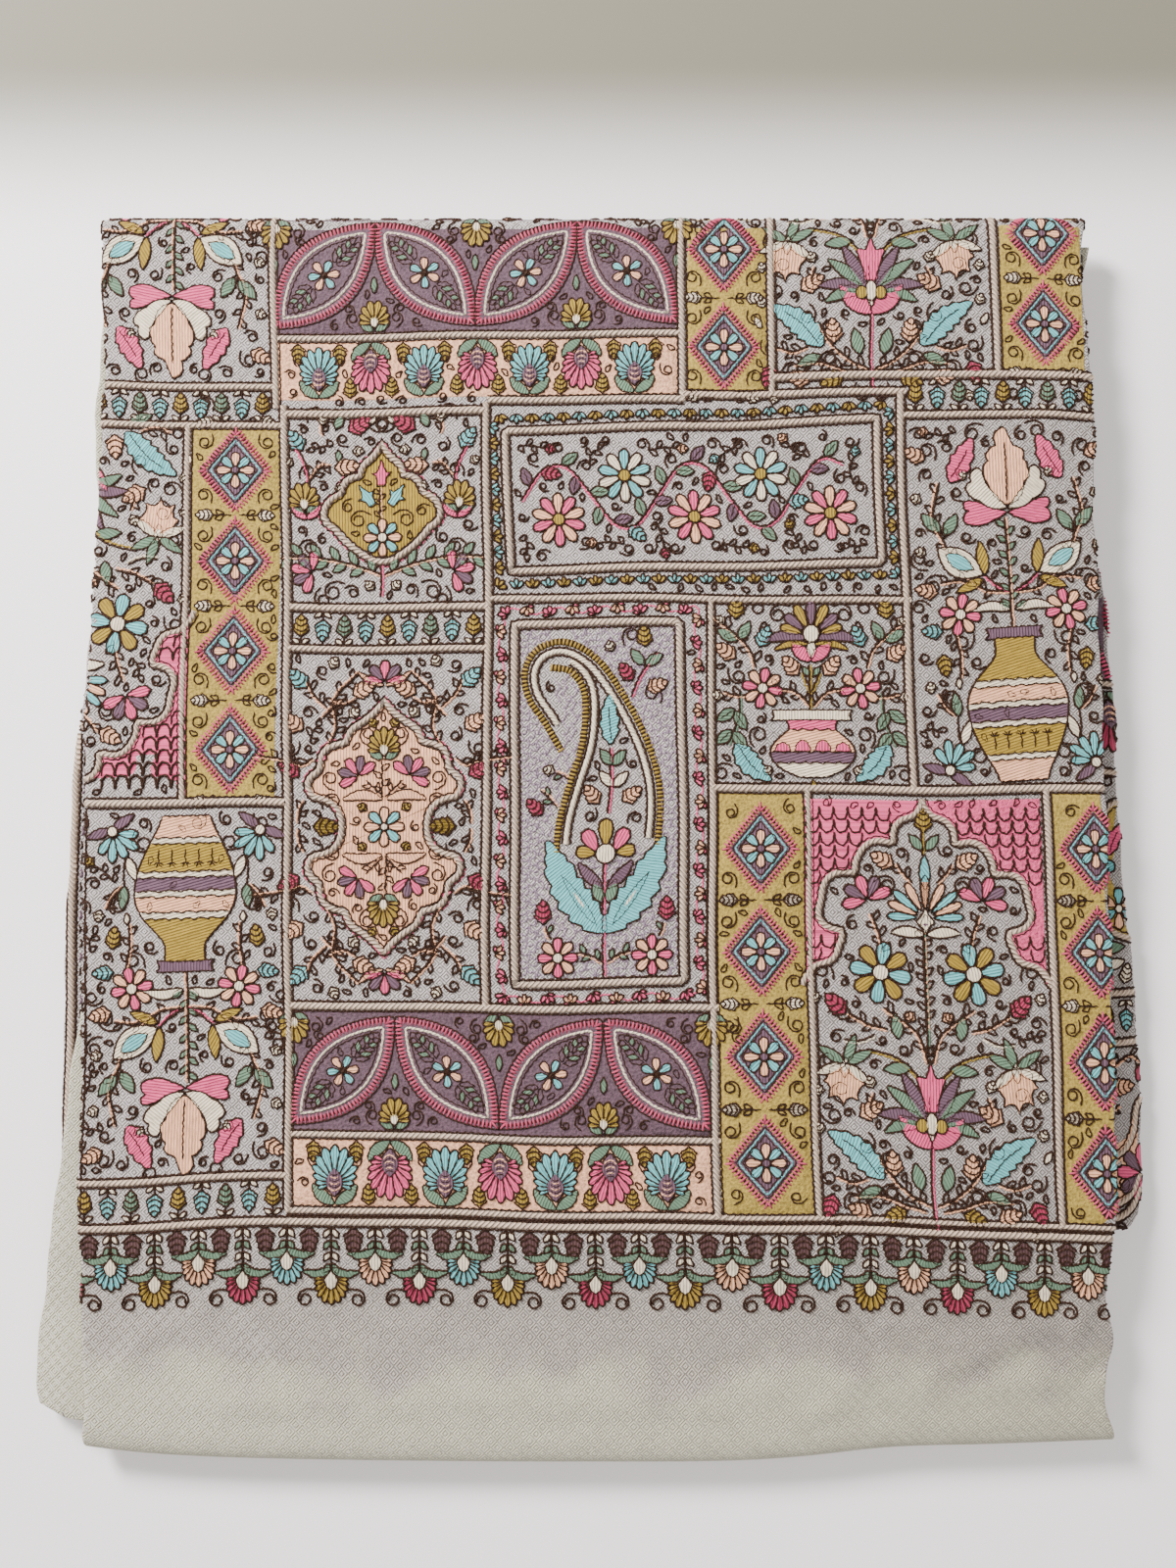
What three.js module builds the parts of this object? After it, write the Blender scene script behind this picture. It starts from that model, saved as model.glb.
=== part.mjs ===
// A pashmina shawl, folded and lying flat. The embroidered end is uppermost, the plain field rolls
// under at the front, and the turns of cloth beneath show at the sides, each a little out of line.
// Millimetres, +Z up. The origin is under the middle of the folded bundle, on the surface that it
// lies on. +X is the viewer's right, and +Y runs from the rolled front edge to the back fold.
import * as THREE from "three";

// One turn is the cloth folded in three across its width, pressed to this thickness.
const TURN = 2.4;
// Air between one turn and the next.
const GAP = 0.3;
// The layers that stay hidden are this many turns, with a crease between their edges.
const HIDDEN_TURNS = 3;
const HIDDEN_TURN = 2.7;
const CREASE_DEPTH = 1.6;
const CREASE_WIDTH = 0.1;

// Heights above the surface, worked up from the bottom of the bundle.
const HIDDEN_TOP = HIDDEN_TURNS * HIDDEN_TURN;
const UNDER_BOTTOM = HIDDEN_TOP + GAP;
const PALE_BOTTOM = UNDER_BOTTOM + TURN + GAP;
const FACE_BOTTOM = PALE_BOTTOM + TURN + GAP;
const FACE_TOP = FACE_BOTTOM + TURN;

// The uppermost turn, seen from above. It sinks at the front, where fewer turns lie under it.
const FACE_CENTRE_X = 1.2;
const FACE_BACK = 191;
const FACE_FRONT = -186.2;
const FRONT_FALL = TURN + GAP;
const FALL_START = -122;
const FALL_END = -150;
// It rolls under at both ends, flatter at the front, and its ends are tucked between the turns.
const FRONT_ROLL = { depth: 9, rise: (FACE_TOP - FRONT_FALL - (HIDDEN_TOP - TURN)) / 2, tuck: 24 };
const BACK_ROLL = { depth: 3.9, rise: (FACE_TOP - UNDER_BOTTOM) / 2, tuck: 22 };

// How far the front roll stands out beyond FACE_FRONT, from left to right.
const FRONT_EDGE = [
  { x: -155, out: 0 },
  { x: -139, out: 1.9 },
  { x: -121, out: 3.1 },
  { x: -91, out: 4.0 },
  { x: 0, out: 4.8 },
  { x: 47, out: 4.3 },
  { x: 64, out: 3.1 },
  { x: 89, out: 0.5 },
  { x: 119, out: -0.4 },
  { x: 157, out: -1.8 },
];

// Side edges of the uppermost turn, from its own centre line. They wander, as in any hand-folded cloth.
const FACE_SIDES = [
  { y: -188, left: -154.6, right: 157.0 },
  { y: -175, left: -154.2, right: 153.9 },
  { y: -166, left: -154.1, right: 153.8 },
  { y: -156, left: -154.4, right: 156.2 },
  { y: -144, left: -154.6, right: 154.2 },
  { y: -112, left: -155.4, right: 156.8 },
  { y: -60, left: -155.2, right: 156.8 },
  { y: 0, left: -155.8, right: 156.0 },
  { y: 35, left: -155.8, right: 155.4 },
  { y: 77, left: -154.0, right: 154.5 },
  { y: 101, left: -153.2, right: 153.9 },
  { y: 131, left: -152.0, right: 154.3 },
  { y: 167, left: -152.6, right: 151.5 },
  { y: 191, left: -154.0, right: 152.4 },
];

// Side edges of the embroidered turn beneath, which fans out towards the front at both sides.
const UNDER_SIDES = [
  { y: -122, left: -160.5, right: 162.0 },
  { y: -119, left: -161.6, right: 165.6 },
  { y: -112, left: -162.0, right: 167.6 },
  { y: -103, left: -162.4, right: 168.0 },
  { y: -73, left: -163.0, right: 167.8 },
  { y: -43, left: -163.2, right: 166.2 },
  { y: -13, left: -161.8, right: 163.0 },
  { y: 17, left: -160.6, right: 161.5 },
  { y: 47, left: -158.2, right: 160.4 },
  { y: 77, left: -154.4, right: 157.6 },
  { y: 96, left: -151.0, right: 152.4 },
  { y: 140, left: -149.0, right: 150.0 },
  { y: 162, left: -150.0, right: 149.0 },
];

// Side edges of the pale turn, which swings out at the front left and shows a tip at the back right.
const PALE_SIDES = [
  { y: -178.8, left: -156.5, right: 148.0 },
  { y: -177, left: -163.4, right: 149.5 },
  { y: -175.3, left: -168.4, right: 150.0 },
  { y: -172.5, left: -170.0, right: 150.0 },
  { y: -166, left: -170.4, right: 150.0 },
  { y: -157, left: -170.2, right: 150.0 },
  { y: -133, left: -166.8, right: 150.0 },
  { y: -107, left: -163.2, right: 150.0 },
  { y: -73, left: -159.4, right: 150.0 },
  { y: -52, left: -156.2, right: 150.0 },
  { y: -20, left: -151.0, right: 149.0 },
  { y: 60, left: -150.0, right: 148.0 },
  { y: 168, left: -150.0, right: 149.0 },
  { y: 176, left: -150.0, right: 153.6 },
  { y: 182.5, left: -149.0, right: 155.2 },
];

// The hidden turns, lowest first: where each reaches, and how it is skewed about the vertical.
const HIDDEN_EDGES = [
  { left: -152.0, right: 154.0, front: -180.5, back: 187.0, skew: 0.1 },
  { left: -151.0, right: 152.5, front: -182.5, back: 184.5, skew: -0.1 },
  { left: -152.5, right: 154.5, front: -149.5, back: 186.0, skew: 0.1 },
];
const HIDDEN_CORNER = 7;

// Cloth that reaches past the hidden turns sags towards the surface, by SAG where it is SAG_END out.
const SAG = 6;
const SAG_START = 158;
const SAG_END = 176;

// Soft folds on the uppermost turn: a ridge's middle, half length, half width, height and heading
// in degrees. A trough has a height below nothing.
const RIDGES = [
  { x: -105, y: -169.5, along: 18, across: 4.2, height: 1.1, heading: -3 },
  { x: -50, y: -168, along: 30, across: 4.2, height: 0.8, heading: 2 },
  { x: 8, y: -168.5, along: 34, across: 5.0, height: 0.9, heading: 1 },
  { x: 60, y: -163, along: 20, across: 5.0, height: 0.8, heading: 15 },
  { x: 42, y: -160, along: 18, across: 4.5, height: -0.7, heading: 10 },
  { x: 120, y: -156, along: 20, across: 4.5, height: 1.5, heading: 24 },
  { x: 116, y: -164, along: 18, across: 3.8, height: -0.9, heading: 20 },
  { x: 138, y: -167, along: 22, across: 4.0, height: 1.0, heading: -4 },
  { x: 100, y: -170, along: 26, across: 4.0, height: 0.6, heading: 4 },
  { x: -90, y: -152, along: 26, across: 8.0, height: 0.5, heading: -35 },
  { x: 141, y: 128, along: 34, across: 8.0, height: 1.1, heading: 62 },
  { x: -128, y: 62, along: 60, across: 12.0, height: 0.7, heading: 78 },
  { x: 20, y: 40, along: 90, across: 34.0, height: 0.6, heading: 20 },
];

// The embroidered part is thicker than the plain field, so the stack stands higher behind the hem.
// It sinks away again at the sides and ends, and a higher power keeps it level for longer.
const EMBROIDERY_RISE = 1.3;
const HEM_Y = -138;
const HEM_SLOPE = 22;
const SWELL_SIDE = { reach: 160, power: 6 };
const SWELL_END = { reach: 196, power: 10 };

// How finely the cloth is divided. The front of the uppermost turn has the closest rows.
const OUTSIDE_COLUMNS = 30;
const INSIDE_COLUMNS = 10;
const COLUMN_CROWDING = 0.55;
const FRONT_ROW_STEP = 4;
const FRONT_ROWS_END = -112;
const BACK_ROW_STEP = 18;
const ROUND_STEPS = 4;
const ROLL_STEPS = 8;
const SHEET_ROW_STEP = 14;
// Columns of a turn beneath, as distances in from its rounded sides, and how thick its rounded end is
// at each of its first rows, as a share of the whole.
const SHEET_COLUMNS = [0, 3.5, 7, 11, 16, 25, 80];
const END_THICKNESS = [0.2, 0.62, 0.9];
// Levels round the bulging edge of a hidden turn, from -1 at its bottom to 1 at its top.
const BULGE_LEVELS = [-0.96, -0.72, -0.3, 0.3, 0.72, 0.96];
const CORNER_ANGLES = [0, 30, 60, 90];

const { lerp, smoothstep, clamp, degToRad } = THREE.MathUtils;

// The value of one column of a table at a place along it, on a smooth curve through its rows.
function smoothAt(rows, column, place, key = "y") {
  const last = rows.length - 1;
  if (place <= rows[0][key]) return rows[0][column];
  if (place >= rows[last][key]) return rows[last][column];
  const i = rows.findIndex((row) => row[key] > place) - 1;
  const [a, b] = [rows[i], rows[i + 1]];
  const span = b[key] - a[key];
  const slope = (low, high) => (high[column] - low[column]) / (high[key] - low[key]);
  const rise = slope(a, b);
  const inSlope = i > 0 ? (slope(rows[i - 1], a) + rise) / 2 : rise;
  const outSlope = i + 2 <= last ? (rise + slope(b, rows[i + 2])) / 2 : rise;
  const t = (place - a[key]) / span;
  const [t2, t3] = [t * t, t * t * t];
  return (
    (2 * t3 - 3 * t2 + 1) * a[column] +
    (t3 - 2 * t2 + t) * span * inSlope +
    (3 * t2 - 2 * t3) * b[column] +
    (t3 - t2) * span * outSlope
  );
}

// Height of one soft ridge at a point of the face.
function ridgeAt(ridge, x, y) {
  const turn = degToRad(ridge.heading);
  const dx = x - ridge.x;
  const dy = y - ridge.y;
  const along = (dx * Math.cos(turn) + dy * Math.sin(turn)) / ridge.along;
  const across = (dy * Math.cos(turn) - dx * Math.sin(turn)) / ridge.across;
  return ridge.height * Math.exp(-along * along - across * across);
}

// The low swell of the stack under the uppermost turn, which sinks away near its edges.
function swell(x, y) {
  const level = (place, edge) => clamp(1 - Math.pow(Math.abs(place) / edge.reach, edge.power), 0, 1);
  const thick = smoothstep(y, HEM_Y - HEM_SLOPE, HEM_Y + HEM_SLOPE);
  return EMBROIDERY_RISE * thick * level(x, SWELL_SIDE) * level(y, SWELL_END);
}

// How far the turns above the embroidered one sink in front of it.
function fall(y) {
  return FRONT_FALL * smoothstep(-y, -FALL_START, -FALL_END);
}

// How far cloth sags where it reaches out past the hidden turns.
function sag(x) {
  return SAG * smoothstep(Math.abs(x + FACE_CENTRE_X), SAG_START, SAG_END);
}

// Lift of the uppermost turn's outside: the swell with the soft ridges on it.
function faceLift(x, y) {
  return RIDGES.reduce((sum, ridge) => sum + ridgeAt(ridge, x, y), swell(x, y));
}

// How far the front roll stands out at x, which fades away over the plain field behind it.
function frontOut(x, y) {
  return smoothAt(FRONT_EDGE, "out", x, "x") * (1 - smoothstep(y, FACE_FRONT, HEM_Y));
}

// A closed solid from rings of points, one after the other. Each flat end is a fan about its middle.
function loft(rings) {
  const size = rings[0].length;
  const points = rings.flat();
  const index = [];
  for (let j = 0; j + 1 < rings.length; j++)
    for (let i = 0; i < size; i++) {
      const a = j * size + i;
      const b = j * size + ((i + 1) % size);
      index.push(a, b, b + size, a, b + size, a + size);
    }
  const cap = (ring, first, isLast) => {
    const middle = ring.reduce((sum, p) => sum.add(p), new THREE.Vector3()).divideScalar(size);
    points.push(middle);
    for (let i = 0; i < size; i++) {
      const [a, b] = [first + i, first + ((i + 1) % size)];
      index.push(points.length - 1, isLast ? a : b, isLast ? b : a);
    }
  };
  cap(rings[0], 0, false);
  cap(rings.at(-1), size * (rings.length - 1), true);
  const geometry = new THREE.BufferGeometry().setFromPoints(points);
  geometry.setIndex(index);
  return geometry;
}

// Fractions from 0 to 1 that crowd towards both ends, where cloth bends most.
function crowded(count) {
  return Array.from({ length: count + 1 }, (_, i) => {
    const t = i / count;
    return lerp(t, (1 - Math.cos(Math.PI * t)) / 2, COLUMN_CROWDING);
  });
}

// Evenly spaced values strictly between two ends, about a step apart.
function between(from, to, step) {
  const count = Math.round(Math.abs(to - from) / step);
  return Array.from({ length: count - 1 }, (_, i) => lerp(from, to, (i + 1) / count));
}

// A station is one cross line of a turn: y and z of its outside and of its inside, and how far its
// swell and soft folds show there.
function station(outer, inner, open) {
  return { outer, inner, open };
}

// Stations round a roll from one angle to another, about its middle, where 90 degrees is on top.
function rollStations(roll, y, z, fromAngle, toAngle) {
  return Array.from({ length: ROLL_STEPS + 1 }, (_, i) => {
    const angle = degToRad(lerp(fromAngle, toAngle, i / ROLL_STEPS));
    const at = (depth, rise) => [y + depth * Math.cos(angle), z + rise * Math.sin(angle)];
    return station(at(roll.depth, roll.rise), at(roll.depth - TURN, roll.rise - TURN), 0);
  });
}

// Stations of the uppermost turn, from its tucked front end over the face to its tucked back end.
function faceStations() {
  const front = FACE_FRONT + FRONT_ROLL.depth;
  const back = FACE_BACK - BACK_ROLL.depth;
  const frontTop = FACE_TOP - FRONT_FALL;
  const tucked = (y, bottom) => station([y, bottom], [y, bottom + TURN], 0);
  const frontTuck = (y) => tucked(y, frontTop - 2 * FRONT_ROLL.rise);
  const backTuck = (y) => tucked(y, FACE_TOP - 2 * BACK_ROLL.rise);
  const face = (y) => station([y, FACE_TOP - fall(y)], [y, FACE_TOP - fall(y) - TURN], 1);
  return [
    frontTuck(front + FRONT_ROLL.tuck),
    frontTuck(front + FRONT_ROLL.tuck / 2),
    ...rollStations(FRONT_ROLL, front, frontTop - FRONT_ROLL.rise, -90, -270),
    ...between(front, FRONT_ROWS_END, FRONT_ROW_STEP).map(face),
    face(FRONT_ROWS_END),
    ...between(FRONT_ROWS_END, back, BACK_ROW_STEP).map(face),
    ...rollStations(BACK_ROLL, back, FACE_TOP - BACK_ROLL.rise, 90, -90),
    backTuck(back - BACK_ROLL.tuck / 2),
    backTuck(back - BACK_ROLL.tuck),
  ];
}

// The ring of a turn at one station: its outside from left to right, the rounded right edge, its
// inside from right to left and the rounded left edge. outerColumns and innerColumns are the places
// across, and lift and underLift raise the outside and the inside.
function turnRing({ outer, inner, open }, outerColumns, innerColumns, lift, underLift) {
  const ring = [];
  const add = (x, depth, raise) => {
    const y = lerp(outer[0], inner[0], depth) - frontOut(x, outer[0]);
    const z = lerp(outer[1], inner[1], depth) + raise * open;
    ring.push(new THREE.Vector3(x, y, z));
  };
  const roundEdge = (centre, start) => {
    for (let i = 1; i < ROUND_STEPS; i++) {
      const angle = start - (Math.PI * i) / ROUND_STEPS;
      const depth = (1 - Math.sin(angle)) / 2;
      const raise = lerp(lift(centre, outer[0]), underLift(centre, outer[0]), depth);
      add(centre + (TURN / 2) * Math.cos(angle), depth, raise);
    }
  };
  outerColumns.forEach((x) => add(x, 0, lift(x, outer[0])));
  roundEdge(outerColumns.at(-1), Math.PI / 2);
  innerColumns.toReversed().forEach((x) => add(x, 1, underLift(x, outer[0])));
  roundEdge(outerColumns[0], -Math.PI / 2);
  return ring;
}

// The flat part of a turn across one station, from a table of its side edges.
function flatPart(sides, y) {
  const half = TURN / 2;
  return [smoothAt(sides, "left", y) + half, smoothAt(sides, "right", y) - half];
}

// The uppermost turn.
function faceGeometry() {
  const rings = faceStations().map((place) => {
    const [from, to] = flatPart(FACE_SIDES, place.outer[0]);
    const columns = (count) => crowded(count).map((t) => lerp(from, to, t));
    return turnRing(place, columns(OUTSIDE_COLUMNS), columns(INSIDE_COLUMNS), faceLift, swell);
  });
  return loft(rings);
}

// A turn that lies beneath the face, with its ends rounded like its sides. lower is how far it
// sinks at a point.
function sheetGeometry(sides, bottom, lower) {
  const half = TURN / 2;
  const [first, last] = [sides[0].y, sides.at(-1).y];
  const ring = (y, thick) => {
    const [from, to] = flatPart(sides, y);
    const columns = [
      ...SHEET_COLUMNS.map((inset) => from + inset),
      ...SHEET_COLUMNS.map((inset) => to - inset).reverse(),
    ];
    const middle = bottom + half;
    const place = station([y, middle + half * thick], [y, middle - half * thick], 1);
    const sink = (x) => -lower(x, y);
    return turnRing(place, columns, columns, sink, sink);
  };
  const endRow = (thick) => half * (1 - Math.sqrt(1 - thick * thick));
  return loft([
    ...END_THICKNESS.map((thick) => ring(first + endRow(thick), thick)),
    ring(first + half, 1),
    ...between(first + half, last - half, SHEET_ROW_STEP).map((y) => ring(y, 1)),
    ring(last - half, 1),
    ...END_THICKNESS.toReversed().map((thick) => ring(last - endRow(thick), thick)),
  ]);
}

// Outline of one hidden turn, drawn in by inset: a rounded rectangle, turned by its skew.
function hiddenOutline(edges, inset) {
  const [left, right] = [edges.left + inset, edges.right - inset];
  const [front, back] = [edges.front + inset, edges.back - inset];
  const radius = HIDDEN_CORNER - inset;
  const corners = [
    [right - radius, back - radius, 0],
    [left + radius, back - radius, 90],
    [left + radius, front + radius, 180],
    [right - radius, front + radius, 270],
  ];
  const turn = degToRad(edges.skew);
  return corners.flatMap(([x, y, start]) =>
    CORNER_ANGLES.map((step) => {
      const angle = degToRad(start + step);
      const px = x + radius * Math.cos(angle);
      const py = y + radius * Math.sin(angle);
      return [px * Math.cos(turn) - py * Math.sin(turn), px * Math.sin(turn) + py * Math.cos(turn)];
    }),
  );
}

// The hidden turns in one rounded solid. Each bulges at its edge, with a crease below the next.
function hiddenGeometry() {
  const rings = [];
  HIDDEN_EDGES.forEach((edges, turn) => {
    for (const level of BULGE_LEVELS) {
      const inset = CREASE_DEPTH * (1 - Math.sqrt(1 - level * level));
      const height = (turn + (1 + level) / 2) * HIDDEN_TURN;
      const z = height < CREASE_WIDTH ? 0 : height > HIDDEN_TOP - CREASE_WIDTH ? HIDDEN_TOP : height;
      rings.push(hiddenOutline(edges, inset).map(([x, y]) => new THREE.Vector3(x, y, z)));
    }
  });
  return loft(rings);
}

// How far the pale turn sinks: at its front, and where it reaches out at the side.
function paleFall(x, y) {
  return fall(y) + sag(x);
}

function cloth(colour, roughness) {
  return new THREE.MeshStandardMaterial({ color: colour, roughness, metalness: 0 });
}

function piece(name, geometry, material, x) {
  const mesh = new THREE.Mesh(geometry, material);
  mesh.name = name;
  mesh.position.x = x;
  return mesh;
}

const embroidered = cloth(0xb9b2b4, 0.9);
const pale = cloth(0xc9c9bd, 0.85);

const shawl = new THREE.Group();
shawl.add(
  piece("top_layer", faceGeometry(), embroidered, FACE_CENTRE_X),
  piece("pale_under_layer", sheetGeometry(PALE_SIDES, PALE_BOTTOM, paleFall), pale, FACE_CENTRE_X),
  piece("embroidered_under_layer", sheetGeometry(UNDER_SIDES, UNDER_BOTTOM, sag), embroidered, FACE_CENTRE_X),
  piece("hidden_layers", hiddenGeometry(), pale, 0),
);

export default shawl;
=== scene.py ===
"""Dress the folded pashmina shawl: thin cloth folded on the fixed frame, with its embroidery in relief.

Lengths are in millimetres until a mesh is made. +X is the viewer's right, +Y runs from the rolled
front edge to the back fold, and Z is up from the surface that the shawl lies on.
"""
from __future__ import annotations

import logging
import math
from dataclasses import dataclass, field
from enum import Enum
from typing import Callable, Sequence

import bpy
import numpy as np
from bpy.types import Material, Node, NodeSocket as Socket, NodeTree, Object
from mathutils import Euler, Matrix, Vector

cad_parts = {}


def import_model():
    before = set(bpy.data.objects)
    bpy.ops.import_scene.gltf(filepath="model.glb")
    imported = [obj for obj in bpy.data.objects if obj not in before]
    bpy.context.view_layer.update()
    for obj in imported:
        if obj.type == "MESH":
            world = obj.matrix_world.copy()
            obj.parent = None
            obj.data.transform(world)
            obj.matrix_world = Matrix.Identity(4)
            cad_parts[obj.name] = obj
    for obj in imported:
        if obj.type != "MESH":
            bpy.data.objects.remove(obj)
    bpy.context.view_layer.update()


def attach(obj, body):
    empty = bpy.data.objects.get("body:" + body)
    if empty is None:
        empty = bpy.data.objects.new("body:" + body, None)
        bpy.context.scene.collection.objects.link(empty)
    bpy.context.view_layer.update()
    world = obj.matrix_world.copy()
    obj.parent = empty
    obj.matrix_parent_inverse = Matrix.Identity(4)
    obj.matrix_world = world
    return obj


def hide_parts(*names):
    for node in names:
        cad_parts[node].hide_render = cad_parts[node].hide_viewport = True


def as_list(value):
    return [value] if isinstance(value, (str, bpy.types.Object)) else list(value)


LOG = logging.getLogger("shawl")
MM = 0.001

Array = np.ndarray
Point = tuple[float, float]


def srgb(red: int, green: int, blue: int) -> tuple[float, float, float, float]:
    """Give the linear colour, with an alpha of one, of a colour named by its screen values.

    Args:
        red: From 0 to 255.
        green: From 0 to 255.
        blue: From 0 to 255.

    Returns:
        The four channels, from 0 to 1.
    """
    def linear(value: int) -> float:
        """Undo the screen's curve for one channel."""
        share = value / 255
        return share / 12.92 if share <= 0.04045 else ((share + 0.055) / 1.055) ** 2.4
    return linear(red), linear(green), linear(blue), 1.0


def smooth(value: Array | float, low: float, high: float) -> Array:
    """Rise smoothly from nothing at low to one at high."""
    t = np.clip((np.asarray(value, float) - low) / (high - low), 0, 1)
    return t * t * (3 - 2 * t)


def abreast(*values: Array) -> Array:
    """Set values side by side, as the coordinates of points or the corners of faces."""
    return np.stack(values, axis=-1)


def mix(a: Array | float, b: Array | float, t: Array | float) -> Array:
    """Blend from a to b as t goes from nothing to one."""
    return a + (b - a) * t


class SmoothTable:
    """A smooth curve through the rows of a short table, for many places at once."""

    def __init__(self, rows: Sequence[tuple[float, ...]], column: int) -> None:
        """Keep one column of the rows, whose first column is the place.

        Args:
            rows: The table, in rising order of place.
            column: Which column holds the values.
        """
        self.places = np.array([row[0] for row in rows], float)
        self.values = np.array([row[column] for row in rows], float)
        rise = np.diff(self.values) / np.diff(self.places)
        self.slopes = np.concatenate([rise[:1], (rise[:-1] + rise[1:]) / 2, rise[-1:]])

    def at(self, place: Array | float) -> Array:
        """Give the value at each place, and the end values beyond the ends.

        Args:
            place: Where to read the table.

        Returns:
            The values there.
        """
        p = np.clip(np.asarray(place, float), self.places[0], self.places[-1])
        i = np.clip(np.searchsorted(self.places, p, side="right") - 1, 0, len(self.places) - 2)
        span = self.places[i + 1] - self.places[i]
        t = (p - self.places[i]) / span
        t2, t3 = t * t, t * t * t
        return ((2 * t3 - 3 * t2 + 1) * self.values[i] + (t3 - 2 * t2 + t) * span * self.slopes[i]
                + (3 * t2 - 2 * t3) * self.values[i + 1] + (t3 - t2) * span * self.slopes[i + 1])


@dataclass(frozen=True)
class Stack:
    """Thicknesses and heights in the folded bundle, as the frame has them."""

    turn: float = 2.4
    gap: float = 0.3
    hidden_turn: float = 2.7
    hidden_turns: int = 3
    cloth: float = 0.62
    centre_x: float = 1.2
    face_front: float = -186.2
    face_back: float = 191.0
    fall_start: float = -122.0
    fall_end: float = -150.0

    @property
    def hidden_top(self) -> float:
        """Height of the top of the hidden turns."""
        return self.hidden_turn * self.hidden_turns

    @property
    def under_bottom(self) -> float:
        """Height of the underside of the embroidered turn beneath."""
        return self.hidden_top + self.gap

    @property
    def pale_bottom(self) -> float:
        """Height of the underside of the pale turn."""
        return self.under_bottom + self.turn + self.gap

    @property
    def face_top(self) -> float:
        """Height of the outside of the uppermost turn."""
        return self.pale_bottom + 2 * self.turn + self.gap

    @property
    def front_fall(self) -> float:
        """How far the upper turns sink at the front."""
        return self.turn + self.gap


STACK = Stack()

FRONT_EDGE = SmoothTable([
    (-155, 0), (-139, 1.9), (-121, 3.1), (-91, 4.0), (0, 4.8), (47, 4.3), (64, 3.1), (89, 0.5), (119, -0.4),
    (157, -1.8)], 1)
FRONT_FADE_END = -138.0


@dataclass(frozen=True)
class Ridge:
    """A soft fold: its middle, half length, half width, height and heading in degrees."""

    x: float
    y: float
    along: float
    across: float
    height: float
    heading: float

    def lift(self, x: Array, y: Array) -> Array:
        """Give how far the fold lifts the cloth at each point.

        Args:
            x: How far right.
            y: How far back.

        Returns:
            The height added, in millimetres.
        """
        turn = math.radians(self.heading)
        dx, dy = x - self.x, y - self.y
        along = (dx * math.cos(turn) + dy * math.sin(turn)) / self.along
        across = (dy * math.cos(turn) - dx * math.sin(turn)) / self.across
        return self.height * np.exp(-along * along - across * across)


FACE_RIDGES = (
    Ridge(-105, -169.5, 18, 4.2, 1.5, -3), Ridge(-50, -168, 30, 4.2, 1.1, 2), Ridge(8, -168.5, 34, 5.0, 1.2, 1),
    Ridge(60, -163, 20, 5.0, 0.8, 15), Ridge(42, -160, 18, 4.5, -0.7, 10), Ridge(120, -156, 20, 4.5, 1.5, 24),
    Ridge(116, -164, 18, 3.8, -0.9, 20), Ridge(138, -167, 22, 4.0, 1.0, -4), Ridge(100, -170, 26, 4.0, 0.6, 4),
    Ridge(-90, -152, 26, 8.0, 0.5, -35), Ridge(141, 128, 34, 8.0, 1.1, 62), Ridge(-128, 62, 60, 12.0, 0.7, 78),
    Ridge(20, 40, 90, 34.0, 0.6, 20),
    # Small creases that only the thin cloth shows.
    Ridge(77, -165, 9, 2.6, 1.8, 18), Ridge(82, -153, 8, 2.4, -1.5, -60), Ridge(97, -152, 12, 2.6, 1.4, -42),
    Ridge(-97, -155, 12, 3.0, 0.72, -55), Ridge(146, -150, 8, 2.6, 1.7, 70), Ridge(150, -164, 8, 2.4, -1.5, 40),
    Ridge(-140, -158, 10, 3.2, 0.9, 50), Ridge(-122, -146, 12, 3.0, 0.63, 30), Ridge(32, -171, 9, 2.6, 0.9, -30),
    Ridge(-12, -158, 16, 4.0, 0.63, -12), Ridge(128, -146, 14, 3.0, 1.4, -38), Ridge(66, -174, 16, 2.6, 1.5, 22),
)

EMBROIDERY_RISE = 1.3
HEM_Y = -138.0
HEM_SLOPE = 22.0
SAG = 6.0
SAG_START = 158.0
SAG_END = 176.0


def swell(x: Array, y: Array) -> Array:
    """Give the low swell of the stack under the uppermost turn."""
    side = np.clip(1 - (np.abs(x) / 160) ** 6, 0, 1)
    end = np.clip(1 - (np.abs(y) / 196) ** 10, 0, 1)
    return EMBROIDERY_RISE * smooth(y, HEM_Y - HEM_SLOPE, HEM_Y + HEM_SLOPE) * side * end


def face_lift(x: Array, y: Array) -> Array:
    """Give the lift of the uppermost turn's outside: the swell with the soft folds on it."""
    return swell(x, y) + sum(ridge.lift(x, y) for ridge in FACE_RIDGES)


def front_fall(y: Array) -> Array:
    """Give how far the turns above the embroidered one sink in front of it."""
    return STACK.front_fall * smooth(-y, -STACK.fall_start, -STACK.fall_end)


def side_sag(x: Array) -> Array:
    """Give how far cloth sags where it reaches out past the hidden turns."""
    return SAG * smooth(np.abs(x + STACK.centre_x), SAG_START, SAG_END)


def no_lift(x: Array, y: Array) -> Array:
    """Give no lift anywhere."""
    return np.zeros(np.broadcast(x, y).shape)


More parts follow.
